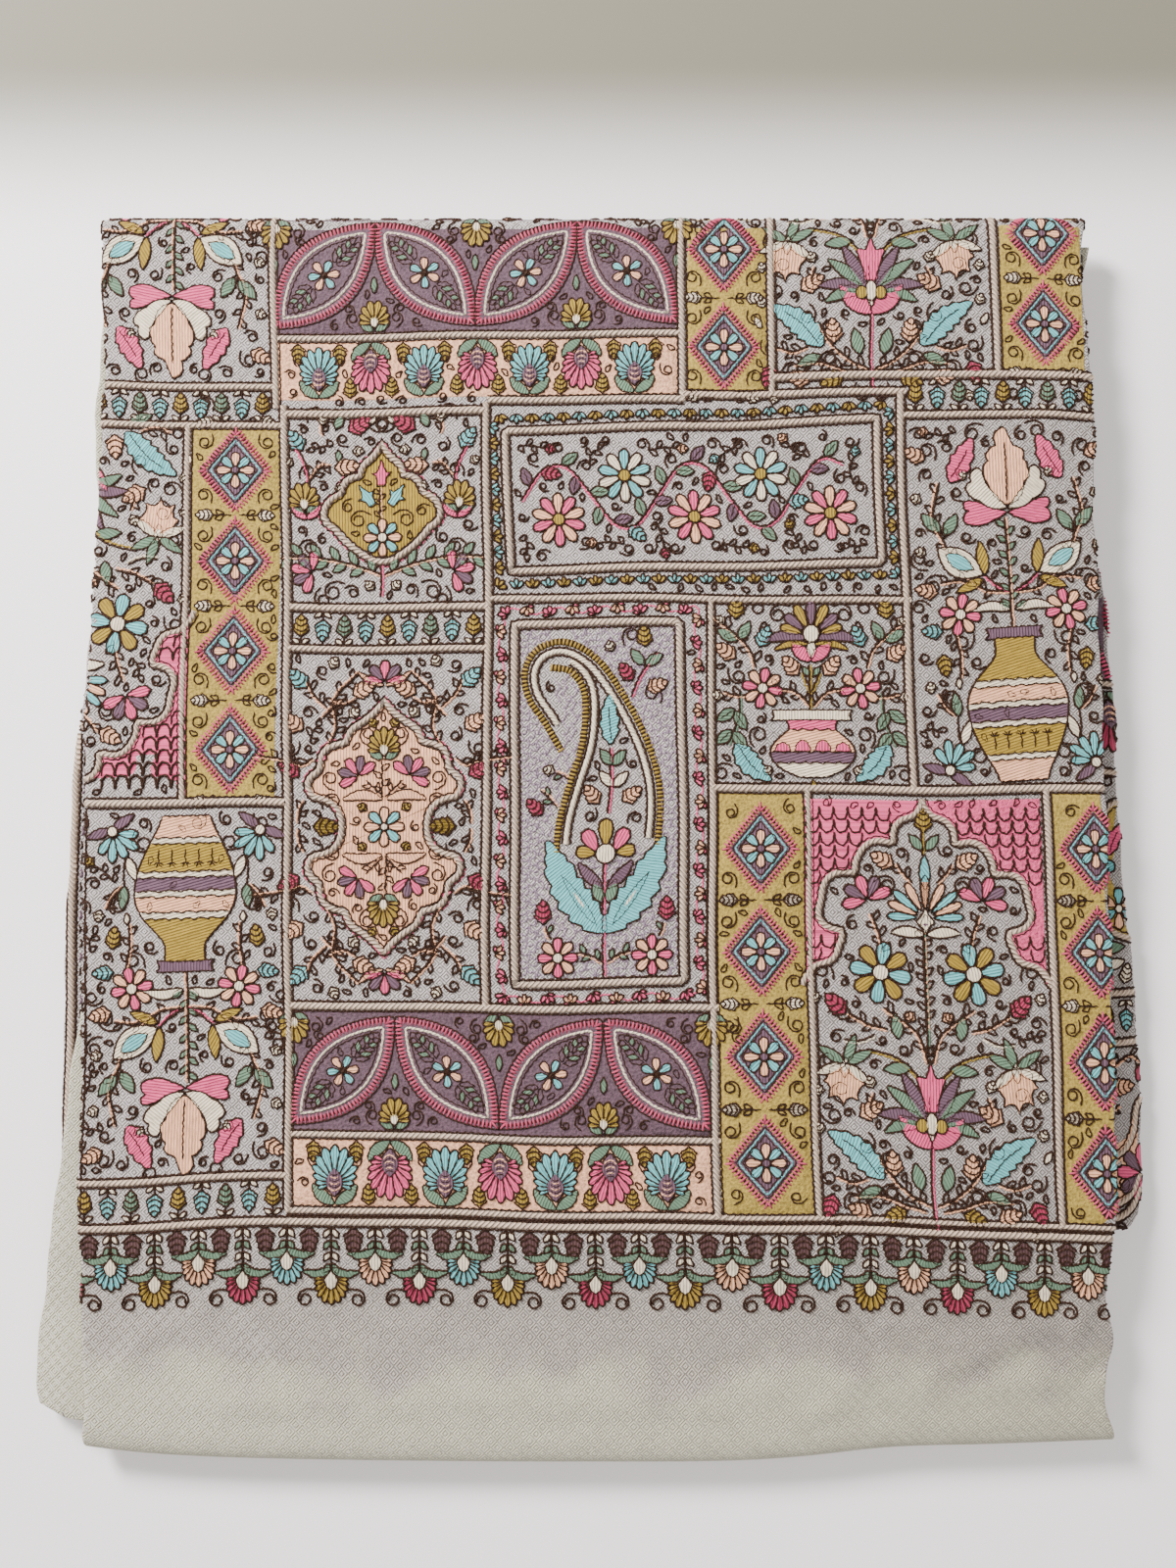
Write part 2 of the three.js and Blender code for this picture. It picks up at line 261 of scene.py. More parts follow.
class Profile:
    """The lengthwise course of a turn: its outside and inside lines against the length along the cloth."""

    def __init__(self, rows: Sequence[tuple[Point, Point, float]], start: float) -> None:
        """Measure the length along the outside line.

        Args:
            rows: For each station, (y, z) of the outside, (y, z) of the inside, and how far folds show.
            start: Length along the cloth at the first station.
        """
        self.outer = np.array([row[0] for row in rows], float)
        self.inner = np.array([row[1] for row in rows], float)
        self.open = np.array([row[2] for row in rows], float)
        steps = np.hypot(*np.diff(self.outer, axis=0).T)
        self.length = start + np.concatenate([[0], np.cumsum(steps)])

    def at(self, s: Array) -> tuple[Array, Array, Array, Array, Array]:
        """Give the outside y and z, the inside y and z and the openness at each length."""
        columns = (self.outer[:, 0], self.outer[:, 1], self.inner[:, 0], self.inner[:, 1], self.open)
        return tuple(np.interp(s, self.length, column) for column in columns)


def roll(y: float, z: float, depth: float, rise: float, start: float, stop: float,
         steps: int = 18) -> list[tuple[Point, Point, float]]:
    """Give the stations round a roll, about its middle, where 90 degrees is on top.

    Args:
        y: The middle's place.
        z: The middle's height.
        depth: How far it reaches in front.
        rise: How far it reaches up.
        start: Its first angle, in degrees.
        stop: Its last angle.
        steps: How many steps it takes.

    Returns:
        Each station's outer point, inner point and share of lift.
    """
    rows = []
    for angle in np.radians(np.linspace(start, stop, steps + 1)):
        cos, sin = math.cos(angle), math.sin(angle)
        inner = (y + (depth - STACK.turn) * cos, z + (rise - STACK.turn) * sin)
        rows.append(((y + depth * cos, z + rise * sin), inner, 0.0))
    return rows


def face_profile() -> Profile:
    """Give the course of the uppermost turn, from its tucked front end to its tucked back end.

    Returns:
        The course.
    """
    front_roll, back_roll, tuck = 9.0, 3.9, 23.0
    front, back = STACK.face_front + front_roll, STACK.face_back - back_roll
    front_top = STACK.face_top - STACK.front_fall
    front_rise = (front_top - STACK.hidden_top + STACK.turn) / 2
    back_rise = (STACK.face_top - STACK.under_bottom) / 2
    rows = [((y, front_top - 2 * front_rise), (y, front_top - 2 * front_rise + STACK.turn), 0.0)
            for y in np.linspace(front + tuck, front, 4)[:-1]]
    rows += roll(front, front_top - front_rise, front_roll, front_rise, -90, -270)
    for y in np.linspace(front, back, 190)[1:-1]:
        z = STACK.face_top - float(front_fall(y))
        share = float(smooth(y, front, front + 4) * smooth(-y, -back, 4 - back))
        rows.append(((y, z), (y, z - STACK.turn), share))
    rows += roll(back, STACK.face_top - back_rise, back_roll, back_rise, 90, -90)
    rows += [((y, STACK.face_top - 2 * back_rise), (y, STACK.face_top - 2 * back_rise + STACK.turn), 0.0)
             for y in np.linspace(back, back - tuck, 4)[1:]]
    profile = Profile(rows, 0.0)
    level = slice(40, 180)
    profile.length -= np.interp(0.0, profile.outer[level, 0], profile.length[level])
    return profile


def flat_profile(first: float, last: float, bottom: float, step: float) -> Profile:
    """Give the course of a turn that lies flat, with its ends thinned to a rounded edge.

    Args:
        first: Where its front edge is.
        last: Where its back edge is.
        bottom: The height of its underside.
        step: How far apart the stations are.

    Returns:
        The course.
    """
    half = STACK.turn / 2
    thinning = (0.12, 0.4, 0.62, 0.8, 0.94)
    in_from_end = [half * (1 - math.sqrt(1 - share * share)) for share in thinning]
    inside = np.linspace(first + half, last - half, max(3, round((last - first) / step)))
    rows = [(first + d, share) for d, share in zip(in_from_end, thinning)]
    rows += [(float(y), 1.0) for y in inside]
    rows += [(last - d, share) for d, share in reversed(list(zip(in_from_end, thinning)))]
    middle = bottom + half
    return Profile([((y, middle + half * share), (y, middle - half * share), 1.0) for y, share in rows], first)


# How many columns of points cross a layer that is folded inside.
INNER_COLUMNS = 18


@dataclass
class Turn:
    """One turn of the bundle: the cloth folded in three across its width.

    Attributes:
        sides: Rows of y, left edge and right edge.
        profile: The course of the turn along its length.
        lift: Lift of the outside at x and y.
        under_lift: Lift of the inside at x and y.
        centre_x: Where the turn's own centre line lies.
        columns: How many columns the outer third has.
        wander: How much its side edges wander, as a share of the usual.
        phase: Where the wander starts, so that no two turns are alike.
    """

    sides: Sequence[tuple[float, float, float]]
    profile: Profile
    lift: Callable[[Array, Array], Array]
    under_lift: Callable[[Array, Array], Array]
    centre_x: float = STACK.centre_x
    columns: int = 64
    wander: float = 1.0
    phase: float = 0.0
    left: SmoothTable = field(init=False)
    right: SmoothTable = field(init=False)

    def __post_init__(self) -> None:
        """Make the smooth side edges."""
        self.left = SmoothTable(self.sides, 1)
        self.right = SmoothTable(self.sides, 2)

    def edges(self, s: Array) -> tuple[Array, Array]:
        """Give the outermost x on the left and on the right at each length.

        Args:
            s: The lengths along the turn.

        Returns:
            The left and the right x.
        """
        y = self.profile.at(s)[0]
        p = self.phase
        left = self.left.at(y) + self.wander * (0.3 * np.sin(y / 7.3 + p) + 0.2 * np.sin(y / 3.1 + 2 * p))
        right = self.right.at(y) + self.wander * (0.3 * np.sin(y / 6.1 + 3 * p) + 0.2 * np.sin(y / 2.7 + p))
        return left, right

    @property
    def right_radius(self) -> float:
        """Outer radius of the right fold, from the outer third to the middle one."""
        return STACK.turn / 4 + STACK.cloth / 4

    @property
    def left_radius(self) -> float:
        """Outer radius of the left fold, from the outer third to the lowest one."""
        return STACK.turn / 2

    def place(self, x: Array, depth: Array, s: Array) -> Array:
        """Give points in space from the place across, the depth below the outside and the length.

        Args:
            x: The place across.
            depth: How far below the outside.
            s: The length along the turn.

        Returns:
            The points.
        """
        outer_y, outer_z, inner_y, inner_z, is_open = self.profile.at(s)
        share = depth / STACK.turn
        raised = mix(self.lift(x, outer_y), self.under_lift(x, outer_y), np.clip(share, 0, 1)) * is_open
        out = FRONT_EDGE.at(x) * (1 - smooth(outer_y, STACK.face_front, FRONT_FADE_END))
        y = mix(outer_y, inner_y, share) - out
        return abreast(x + self.centre_x, y, mix(outer_z, inner_z, share) + raised)

    def on_outside(self, u: Array, v: Array, height: Array) -> tuple[Array, Array]:
        """Carry flat embroidery on to the outside of the turn, round its folds.

        Args:
            u: Place across the cloth from the turn's centre line.
            v: Place along the cloth.
            height: Height above the cloth.

        Returns:
            Points in space, and whether each is still on the side that shows.
        """
        left, right = self.edges(v)
        from_x, to_x = left + self.left_radius, right - self.right_radius
        turned_right = np.maximum(u - to_x, 0) / self.right_radius
        turned_left = np.maximum(from_x - u, 0) / self.left_radius
        radius = np.where(turned_right > 0, self.right_radius, self.left_radius)
        angle = np.maximum(turned_right, turned_left)
        bent = np.minimum(angle, math.pi)
        side = np.where(turned_right > 0, 1.0, -1.0)
        x = np.clip(u, from_x, to_x) + side * (radius + height) * np.sin(bent) * (angle > 0)
        depth = np.where(angle > 0, radius - (radius + height) * np.cos(bent), -height)
        return self.place(x, depth, v), angle < 0.85 * math.pi

    def section(self, s: float) -> tuple[Array, Array, Array]:
        """Give the fold across the turn: the x, the depth and the length of its middle line.

        Args:
            s: The length along the turn.

        Returns:
            The x, the depth and the length across.
        """
        left, right = (float(value) for value in self.edges(np.array(s)))
        half = STACK.cloth / 2
        top, middle, low = half, STACK.turn / 2, STACK.turn - half
        small, large = (middle - top) / 2, (low - top) / 2
        from_x, to_x = left + half + large, right - half - small
        inner_edge = left + 3.4 + 0.9 * math.sin(s / 11 + self.phase)
        outer_edge = (right - 2.4 - 1.3 * math.sin(s / 17 + 2 * self.phase)
                      - 0.5 * math.sin(s / 5 + self.phase))
        bend = np.radians(np.linspace(0, 180, 11))[1:-1]
        crowd = np.linspace(0, 1, self.columns)
        crowd = mix(crowd, (1 - np.cos(np.pi * crowd)) / 2, 0.4)
        few = np.linspace(0, 1, INNER_COLUMNS)
        few = mix(few, (1 - np.cos(np.pi * few)) / 2, 0.7)
        x = np.concatenate([
            mix(inner_edge, to_x, few), to_x + small * np.sin(bend), mix(to_x, from_x, crowd),
            from_x - large * np.sin(bend), mix(from_x, outer_edge, few)])
        depth = np.concatenate([
            np.full(INNER_COLUMNS, middle), (top + middle) / 2 + small * np.cos(bend),
            np.full(self.columns, top), (top + low) / 2 - large * np.cos(bend),
            np.full(INNER_COLUMNS, low)])
        length = np.concatenate([[0], np.cumsum(np.hypot(np.diff(x), np.diff(depth)))])
        start = INNER_COLUMNS + len(bend)
        centre = np.interp(0, x[start:start + self.columns][::-1], length[start:start + self.columns][::-1])
        return x, depth, centre - length

    def shell(self) -> "Shell":
        """Make the closed shell of the folded cloth.

        Returns:
            The shell's points, faces and cloth coordinates.
        """
        rings, coords = [], []
        half = STACK.cloth / 2
        for s in self.profile.length:
            x, depth, length = self.section(float(s))
            tx, td = np.gradient(x), np.gradient(depth)
            size = np.hypot(tx, td)
            nx, nd = -td / size, tx / size
            ring = [self.place(x + side * half * nx, depth + side * half * nd, np.full(len(x), s))
                    for side in (1, -1)]
            rings.append(np.concatenate([ring[0], ring[1][::-1]]))
            across = np.concatenate([length, length[::-1]])
            coords.append(abreast(across, np.full(len(across), s)))
        return Shell.from_rings(np.array(rings), np.array(coords))


@dataclass
class Shell:
    """Points, faces and cloth coordinates of a closed shell."""

    points: Array
    faces: Array
    coords: Array

    @classmethod
    def from_rings(cls, rings: Array, coords: Array) -> "Shell":
        """Join rings of points into a closed shell with an even strip at each end.

        Args:
            rings: One ring of points for each station.
            coords: Their cloth coordinates.

        Returns:
            The shell.
        """
        count, size, _ = rings.shape
        i, j = np.meshgrid(np.arange(size), np.arange(count - 1))
        a = j * size + i
        b = j * size + (i + 1) % size
        sides = abreast(a, a + size, b + size, b).reshape(-1, 4)
        k = np.arange(size // 2 - 1)
        start = abreast(k, k + 1, size - 2 - k, size - 1 - k)
        end = abreast(k, size - 1 - k, size - 2 - k, k + 1) + (count - 1) * size
        return cls(rings.reshape(-1, 3), np.concatenate([sides, start, end]), coords.reshape(-1, 2))


def make_object(name: str, points: Array, faces: Sequence, coords: Array | None,
                materials: Sequence[Material], slots: Array | None = None) -> Object:
    """Make a Blender object from points in millimetres.

    Args:
        name: The object's name.
        points: The points, one row each.
        faces: The corner numbers of each face.
        coords: Cloth or thread coordinates of each point in millimetres, kept as a UV map.
        materials: The materials, in slot order.
        slots: Which material each face has, if more than one.

    Returns:
        The new object, linked to the scene.
    """
    mesh = bpy.data.meshes.new(name)
    faces = np.asarray(faces, dtype=np.int32)
    count, corners = faces.shape
    mesh.vertices.add(len(points))
    mesh.vertices.foreach_set("co", (np.asarray(points) * MM).astype(np.float32).ravel())
    mesh.loops.add(count * corners)
    mesh.loops.foreach_set("vertex_index", faces.ravel())
    mesh.polygons.add(count)
    mesh.polygons.foreach_set("loop_start", np.arange(0, count * corners, corners, dtype=np.int32))
    if slots is not None:
        mesh.polygons.foreach_set("material_index", np.asarray(slots, dtype=np.int32))
    if coords is not None:
        layer = mesh.uv_layers.new(name="Cloth")
        layer.data.foreach_set("uv", coords[faces.ravel()].astype(np.float32).ravel())
    for material in materials:
        mesh.materials.append(material)
    mesh.update(calc_edges=True)
    mesh.validate()
    mesh.shade_smooth()
    obj = bpy.data.objects.new(name, mesh)
    bpy.context.scene.collection.objects.link(obj)
    return obj


class Value:
    """A number in a material. Python's operators on it add Math nodes."""

    def __init__(self, finish: "NodeMaker", socket: Socket) -> None:
        """Wrap a socket of a node tree."""
        self.finish = finish
        self.socket = socket

    def math(self, operation: str, *others: "Value | float") -> "Value":
        """Add a Math node with this number first and the others after it."""
        return Value(self.finish, self.finish.socket(
            "ShaderNodeMath", {"operation": operation}, dict(enumerate((self, *others)))))

    def __add__(self, other: "Value | float") -> "Value":
        """Add."""
        return self.math("ADD", other)

    __radd__ = __add__

    def __sub__(self, other: "Value | float") -> "Value":
        """Subtract."""
        return self.math("SUBTRACT", other)

    def __rsub__(self, other: float) -> "Value":
        """Subtract this from a number."""
        return self.math("MULTIPLY_ADD", -1.0, other)

    def __mul__(self, other: "Value | float") -> "Value":
        """Multiply."""
        return self.math("MULTIPLY", other)

    __rmul__ = __mul__

    def __truediv__(self, other: "Value | float") -> "Value":
        """Divide."""
        return self.math("DIVIDE", other)

    def wave(self, period: float) -> "Value":
        """Give a sine of the number with a period, from nothing to one."""
        return (self * (2 * math.pi / period)).math("SINE") * 0.5 + 0.5

    def zigzag(self, period: float) -> "Value":
        """Give the distance to the nearest middle of a period, from nothing to a half."""
        return ((self / period).math("FRACT") - 0.5).math("ABSOLUTE")

    def rise(self, low: float, high: float) -> "Value":
        """Rise smoothly from nothing at low to one at high."""
        return Value(self.finish, self.finish.socket(
            "ShaderNodeMapRange", {"interpolation_type": "SMOOTHSTEP"},
            {"Value": self, "From Min": low, "From Max": high}))


Colour = tuple[float, float, float, float]


class NodeMaker:
    """Adds nodes to a tree."""

    def __init__(self, tree: NodeTree) -> None:
        """Hold the tree."""
        self.tree = tree

    def node(self, kind: str, settings: dict, inputs: dict) -> Node:
        """Add a node.

        Args:
            kind: The node's type.
            settings: Its properties, set first.
            inputs: A value, a socket or a Value for each of its sockets.

        Returns:
            The new node.
        """
        node = self.tree.nodes.new(kind)
        for key, value in settings.items():
            setattr(node, key, value)
        for key, value in inputs.items():
            if isinstance(value, Value):
                self.tree.links.new(value.socket, node.inputs[key])
            elif isinstance(value, Socket):
                self.tree.links.new(value, node.inputs[key])
            else:
                node.inputs[key].default_value = value
        return node

    def socket(self, kind: str, settings: dict, inputs: dict) -> Socket:
        """Add a node and give its first output."""
        return self.node(kind, settings, inputs).outputs[0]


class Finish(NodeMaker):
    """A material whose nodes are being made."""

    def __init__(self, name: str, roughness: float, sheen: float) -> None:
        """Start a material with its shader.

        Args:
            name: The material's name.
            roughness: How rough its surface is.
            sheen: How much soft sheen its fibres give.
        """
        self.material = bpy.data.materials.new(name)
        self.material.use_nodes = True
        super().__init__(self.material.node_tree)
        self.tree.nodes.clear()
        output = self.tree.nodes.new("ShaderNodeOutputMaterial")
        self.shader = self.node("ShaderNodeBsdfPrincipled", {}, {
            "Roughness": roughness, "Sheen Weight": sheen, "Sheen Roughness": 0.45, "Specular IOR Level": 0.25})
        self.tree.links.new(self.shader.outputs[0], output.inputs[0])

    def coords(self) -> tuple["Value", "Value", Socket]:
        """Give the two cloth or thread coordinates in millimetres, and both as a vector."""
        place = self.socket("ShaderNodeUVMap", {"uv_map": "Cloth"}, {})
        split = self.node("ShaderNodeSeparateXYZ", {}, {0: place})
        return Value(self, split.outputs[0]), Value(self, split.outputs[1]), place

    def stretched(self, place: Socket, pull: tuple[float, float, float]) -> Socket:
        """Stretch a place along its directions."""
        return self.socket("ShaderNodeVectorMath", {"operation": "MULTIPLY"}, {0: place, 1: pull})

    def noise(self, place: Socket, scale: float, detail: float = 3.0) -> Value:
        """Add noise about a place, with a scale in cycles for each unit."""
        return Value(self, self.socket("ShaderNodeTexNoise", {},
                                       {"Vector": place, "Scale": scale, "Detail": detail}))

    def blend(self, factor: Value, low: Colour | Socket,
              high: Colour | Socket) -> Socket:
        """Blend two colours by a factor."""
        node = self.node("ShaderNodeMix", {"data_type": "RGBA"}, {0: factor, 6: low, 7: high})
        return node.outputs[2]

    def finish(self, colour: Socket, height: Value, distance: float, strength: float
               ) -> Material:
        """Give the shader its colour and its bump.

        Args:
            colour: The colour over the surface.
            height: The height over the surface, from nothing to one.
            distance: How high one is, in millimetres.
            strength: How strong the bump is.

        Returns:
            The finished material.
        """
        bump = self.node("ShaderNodeBump", {},
                         {"Height": height, "Distance": distance * MM, "Strength": strength})
        self.tree.links.new(colour, self.shader.inputs["Base Color"])
        self.tree.links.new(bump.outputs[0], self.shader.inputs["Normal"])
        return self.material


# The deep colours below are the dark ends of the cloth's own uneven tone, and of the painted shade that darkens
# it towards the right.
GREY_DYE = srgb(195, 182, 170)
GREY_DEEP_TONE_AND_SHADE = srgb(120, 110, 101)
FIELD_DYE = srgb(207, 196, 194)
IVORY = srgb(212, 205, 181)
IVORY_DEEP_TONE_AND_SHADE = srgb(160, 152, 128)


@dataclass(frozen=True)
class PashminaFinish:
    """Fine pashmina in bird's-eye weave, dyed grey up to a soft, uneven edge, with painted shade that darkens it
    towards the right.

    Attributes:
        name: The material's name.
        dye_edge: Place along the cloth where the dye ends. It is grey beyond it.
        diamond: Width of a diamond of the weave.
    """

    name: str
    dye_edge: float
    diamond: float = 3.9

    def make(self) -> Material:
        """Make the material.

        Returns:
            The material.
        """
        finish = Finish(self.name, 0.88, 0.35)
        u, v, place = finish.coords()
        blotch = finish.noise(place, 0.045, 2.0)
        patch = finish.noise(place, 0.16, 3.0)
        crossed = [finish.stretched(place, pull) for pull in ((0.5, 1.7, 1.0), (1.7, 0.5, 1.0))]
        fibre = finish.noise(crossed[0], 0.8, 1.0) * 0.5 + finish.noise(crossed[1], 0.8, 1.0) * 0.5
        drift = (blotch - 0.5) * 46.0 + (patch - 0.5) * 22.0
        dyed = (v + drift).rise(self.dye_edge - 9.0, self.dye_edge + 9.0)
        across, along = u.zigzag(self.diamond), v.zigzag(self.diamond)
        rings = (across + along).wave(0.27)
        # Painted shade: the tone is darkened towards the right side, where less light falls. The patch, ring and
        # fibre terms are the cloth's own tone.
        tone = (patch * 0.4 + rings * 0.6 + fibre * 0.8 - u.rise(0.0, 170.0) * 0.17).rise(0.5, 1.25)
        field = finish.blend(v.rise(-150.0, -112.0), GREY_DYE, FIELD_DYE)
        grey = finish.blend(tone, GREY_DEEP_TONE_AND_SHADE, field)
        pale = finish.blend(tone, IVORY_DEEP_TONE_AND_SHADE, IVORY)
        return finish.finish(finish.blend(dyed, pale, grey), rings * 0.9 + fibre * 1.2, 0.5, 1.0)


FACE_SIDES = (
    (-188, -154.6, 157.0), (-175, -154.2, 153.9), (-166, -154.1, 153.8), (-156, -154.4, 156.2),
    (-144, -154.6, 154.2), (-112, -155.4, 156.8), (-60, -155.2, 156.8), (0, -155.8, 156.0),
    (35, -155.8, 155.4), (77, -154.0, 154.5), (101, -153.2, 153.9), (131, -152.0, 154.3),
    (167, -152.6, 151.5), (191, -154.0, 152.4),
)
UNDER_SIDES = (
    (-122, -160.5, 162.0), (-119, -161.6, 165.6), (-112, -162.0, 167.6), (-103, -162.4, 168.0),
    (-73, -163.0, 167.8), (-43, -163.2, 166.2), (-13, -161.8, 163.0), (17, -160.6, 161.5),
    (47, -158.2, 160.4), (77, -154.4, 157.6), (96, -151.0, 152.4), (140, -149.0, 150.0), (162, -150.0, 149.0),
)
PALE_SIDES = (
    (-178.8, -156.5, 148.0), (-177, -163.4, 149.5), (-175.3, -168.4, 150.0), (-172.5, -170.0, 150.0),
    (-166, -170.4, 150.0), (-157, -170.2, 150.0), (-133, -166.8, 150.0), (-107, -163.2, 150.0),
    (-73, -159.4, 150.0), (-52, -156.2, 150.0), (-20, -151.0, 149.0), (60, -150.0, 148.0),
    (168, -150.0, 149.0), (176, -150.0, 153.6), (182.5, -149.0, 155.2),
)


@dataclass(frozen=True)
class HiddenTurn:
    """Where a hidden turn reaches, and how it is skewed about the vertical."""

    left: float
    right: float
    front: float
    back: float
    skew: float
    corner: float = 7.0

    def sides(self) -> list[tuple[float, float, float]]:
        """Give its side edges, drawn in at rounded corners.

        Returns:
            Rows of y, left x and right x.
        """
        rows = []
        slope = math.tan(math.radians(self.skew))
        for share in (0, 0.15, 0.5, 1):
            rows.append(share * self.corner)
        length = self.back - self.front
        places = rows + [length / 2] + [length - d for d in reversed(rows)]
        table = []
        for place in places:
            short = max(0.0, self.corner - min(place, length - place))
            inset = self.corner - math.sqrt(max(0.0, self.corner ** 2 - short ** 2))
            y = self.front + place
            table.append((y, self.left + inset - y * slope, self.right - inset - y * slope))
        return table


HIDDEN_TURNS = (
    HiddenTurn(-152.0, 154.0, -180.5, 187.0, 0.1),
    HiddenTurn(-151.0, 152.5, -182.5, 184.5, -0.1),
    HiddenTurn(-152.5, 154.5, -149.5, 186.0, 0.1),
)


def face_turn() -> Turn:
    """Make the uppermost turn."""
    return Turn(FACE_SIDES, face_profile(), face_lift, swell, columns=96, phase=0.4)


def pale_turn() -> Turn:
    """Make the pale turn beneath it.

    Returns:
        The turn.
    """
    def sink(x: Array, y: Array) -> Array:
        """Give how far the pale turn drops, as a lift."""
        return -(front_fall(y) + side_sag(x))
    profile = flat_profile(PALE_SIDES[0][0], PALE_SIDES[-1][0], STACK.pale_bottom, 3.0)
    return Turn(PALE_SIDES, profile, sink, sink, phase=1.7)


def under_turn() -> Turn:
    """Make the embroidered turn beneath.

    Returns:
        The turn.
    """
    def sink(x: Array, y: Array) -> Array:
        """Give how far the turn drops past the hidden ones, as a lift."""
        return -side_sag(x) + 0 * y
    profile = flat_profile(UNDER_SIDES[0][0], UNDER_SIDES[-1][0], STACK.under_bottom, 3.0)
    return Turn(UNDER_SIDES, profile, sink, sink, phase=2.9)


def hidden_turn(level: int) -> Turn:
    """Make one of the hidden turns, counted up from the surface.

    Args:
        level: Its number.

    Returns:
        The turn.
    """
    edges = HIDDEN_TURNS[level]
    rest = 0.0 if level == 0 else (STACK.hidden_turn - STACK.turn) / 2
    profile = flat_profile(edges.front, edges.back, level * STACK.hidden_turn + rest, 6.0)
    return Turn(edges.sides(), profile, no_lift, no_lift, centre_x=0.0, columns=24, wander=1.6,
                phase=4.1 + level)


@dataclass
class Bundle:
    """The folded cloth itself, in four pieces that stand for the frame's four nodes."""

    face: Turn = field(default_factory=face_turn)
    pale: Turn = field(default_factory=pale_turn)
    under: Turn = field(default_factory=under_turn)

    def build(self) -> dict[str, Object]:
        """Make the cloth pieces and give them by name.

        Returns:
            The four cloths by name.
        """
        grey = PashminaFinish("embroidered_pashmina", -163.0).make()
        ivory = PashminaFinish("ivory_pashmina", 900.0).make()
        all_grey = PashminaFinish("grey_pashmina", -900.0).make()
        hidden = [hidden_turn(level).shell() for level in range(STACK.hidden_turns)]
        return {
            "top_cloth": self.piece("top_cloth", [self.face.shell()], grey),
            "pale_cloth": self.piece("pale_cloth", [self.pale.shell()], ivory),
            "under_cloth": self.piece("under_cloth", [self.under.shell()], all_grey),
            "hidden_cloth": self.piece("hidden_cloth", hidden, ivory),
        }

    def piece(self, name: str, shells: Sequence[Shell], material: Material) -> Object:
        """Join closed shells, with their faces pointing out, into one object.

        Args:
            name: The object's name.
            shells: The shells that it joins.
            material: Its finish.

        Returns:
            The object.
        """
        points, faces, coords, first = [], [], [], 0
        for shell in shells:
            points.append(shell.points)
            faces.append(outward(shell.points, shell.faces) + first)
            coords.append(shell.coords)
            first += len(shell.points)
        return make_object(name, np.concatenate(points), np.concatenate(faces), np.concatenate(coords),
                           [material])


def outward(points: Array, faces: Array) -> Array:
    """Turn the faces of a closed shell round if they point in.

    Args:
        points: The shell's points.
        faces: Its faces, of three or four corners.

    Returns:
        The faces.
    """
    corners = points[faces]
    first = np.cross(corners[:, 1] - corners[:, 0], corners[:, 2] - corners[:, 0])
    volume = np.einsum("ij,ij->", corners[:, 0], first)
    if faces.shape[1] == 4:
        second = np.cross(corners[:, 2] - corners[:, 0], corners[:, 3] - corners[:, 0])
        volume += np.einsum("ij,ij->", corners[:, 0], second)
    return faces if volume > 0 else faces[:, ::-1]


class Thread(Enum):
    """A thread colour, by its screen values."""

    BROWN = (50, 25, 8)
    CORD = (216, 188, 164)
    CREAM = (234, 216, 188)
    PINK = (224, 82, 124)
    COMB = (192, 72, 102)
    ROSE = (166, 50, 80)
    AQUA = (108, 182, 184)
    PEACH = (242, 178, 138)
    OCHRE = (160, 130, 48)
    MAUVE = (104, 76, 90)
    UMBER = (86, 58, 58)
    GREEN = (102, 128, 104)
    LILAC = (150, 126, 144)
    MAUVE_GROUND = (98, 74, 84)
    PEACH_GROUND = (238, 178, 140)
    OCHRE_GROUND = (172, 144, 66)
    PINK_GROUND = (230, 90, 130)

    def finish(self) -> Material:
        """Make the thread's material: fine strands side by side, with small shifts of tone.

        Returns:
            The material.
        """
        finish = Finish(f"thread_{self.name.lower()}", 0.8, 0.0 if self is Thread.BROWN else 0.08)
        _, across, place = finish.coords()
        strand = finish.noise(finish.stretched(place, (0.35, 2.2, 1.0)), 0.9, 2.0)
        patch = finish.noise(place, 0.3, 2.0)
        light = srgb(*self.value)
        dark = tuple(0.44 * channel for channel in light[:3]) + (1.0,)
        if self.name.endswith("GROUND"):
            fleck = finish.noise(place, 1.15, 4.0)
            tone = (fleck * 1.2 + patch * 0.35).rise(0.45, 1.0)
            return finish.finish(finish.blend(tone, dark, light), fleck, 0.6, 1.0)
        if self is Thread.CORD:
            twist = (across + strand * 0.3).wave(1.15)
            tone = (twist * 0.9 + strand * 0.2 + patch * 0.2).rise(-0.05, 1.05)
            return finish.finish(finish.blend(tone, dark, light), twist, 0.7, 1.0)
        ridge = (across + strand * 0.7).wave(0.9)
        tone = (ridge * 0.5 + strand * 0.45 + patch * 0.35).rise(0.15, 0.9)
        return finish.finish(finish.blend(tone, dark, light), ridge * 0.7 + strand * 0.6, 0.34, 1.0)


(BROWN, CORD, CREAM, PINK, COMB, ROSE, AQUA, PEACH, OCHRE, MAUVE, UMBER, GREEN, LILAC,
 MAUVE_GROUND, PEACH_GROUND, OCHRE_GROUND, PINK_GROUND) = Thread


class Kind(Enum):
    """A kind of needlework, which has objects of its own: their name, faces for each point, and section."""

    GROUND = ("filled_grounds", 3, 0)
    FILL = ("satin_stitches", 3, 0)
    SHORT = ("comb_stitches", 20, 0)
    OUTLINE = ("stem_stitches", 4, 3)
    CORD = ("couched_cords", 8, 5)

    @property
    def title(self) -> str:
        """What its objects are called."""
        return self.value[0]

    @property
    def faces(self) -> int:
        """About how many triangles each point of it takes."""
        return self.value[1]

    @property
    def profile(self) -> dict[str, float]:
        """The sizes of its thread's section, for the tree that lays it."""
        return {"Section points": self.value[2], "Half turn": 2.0}


SHARP_EDGE = math.radians(36)
STEP = 0.8
SEAT = -0.12
COMB_PITCH = 1.2
PIECE_LIMIT = 180_000


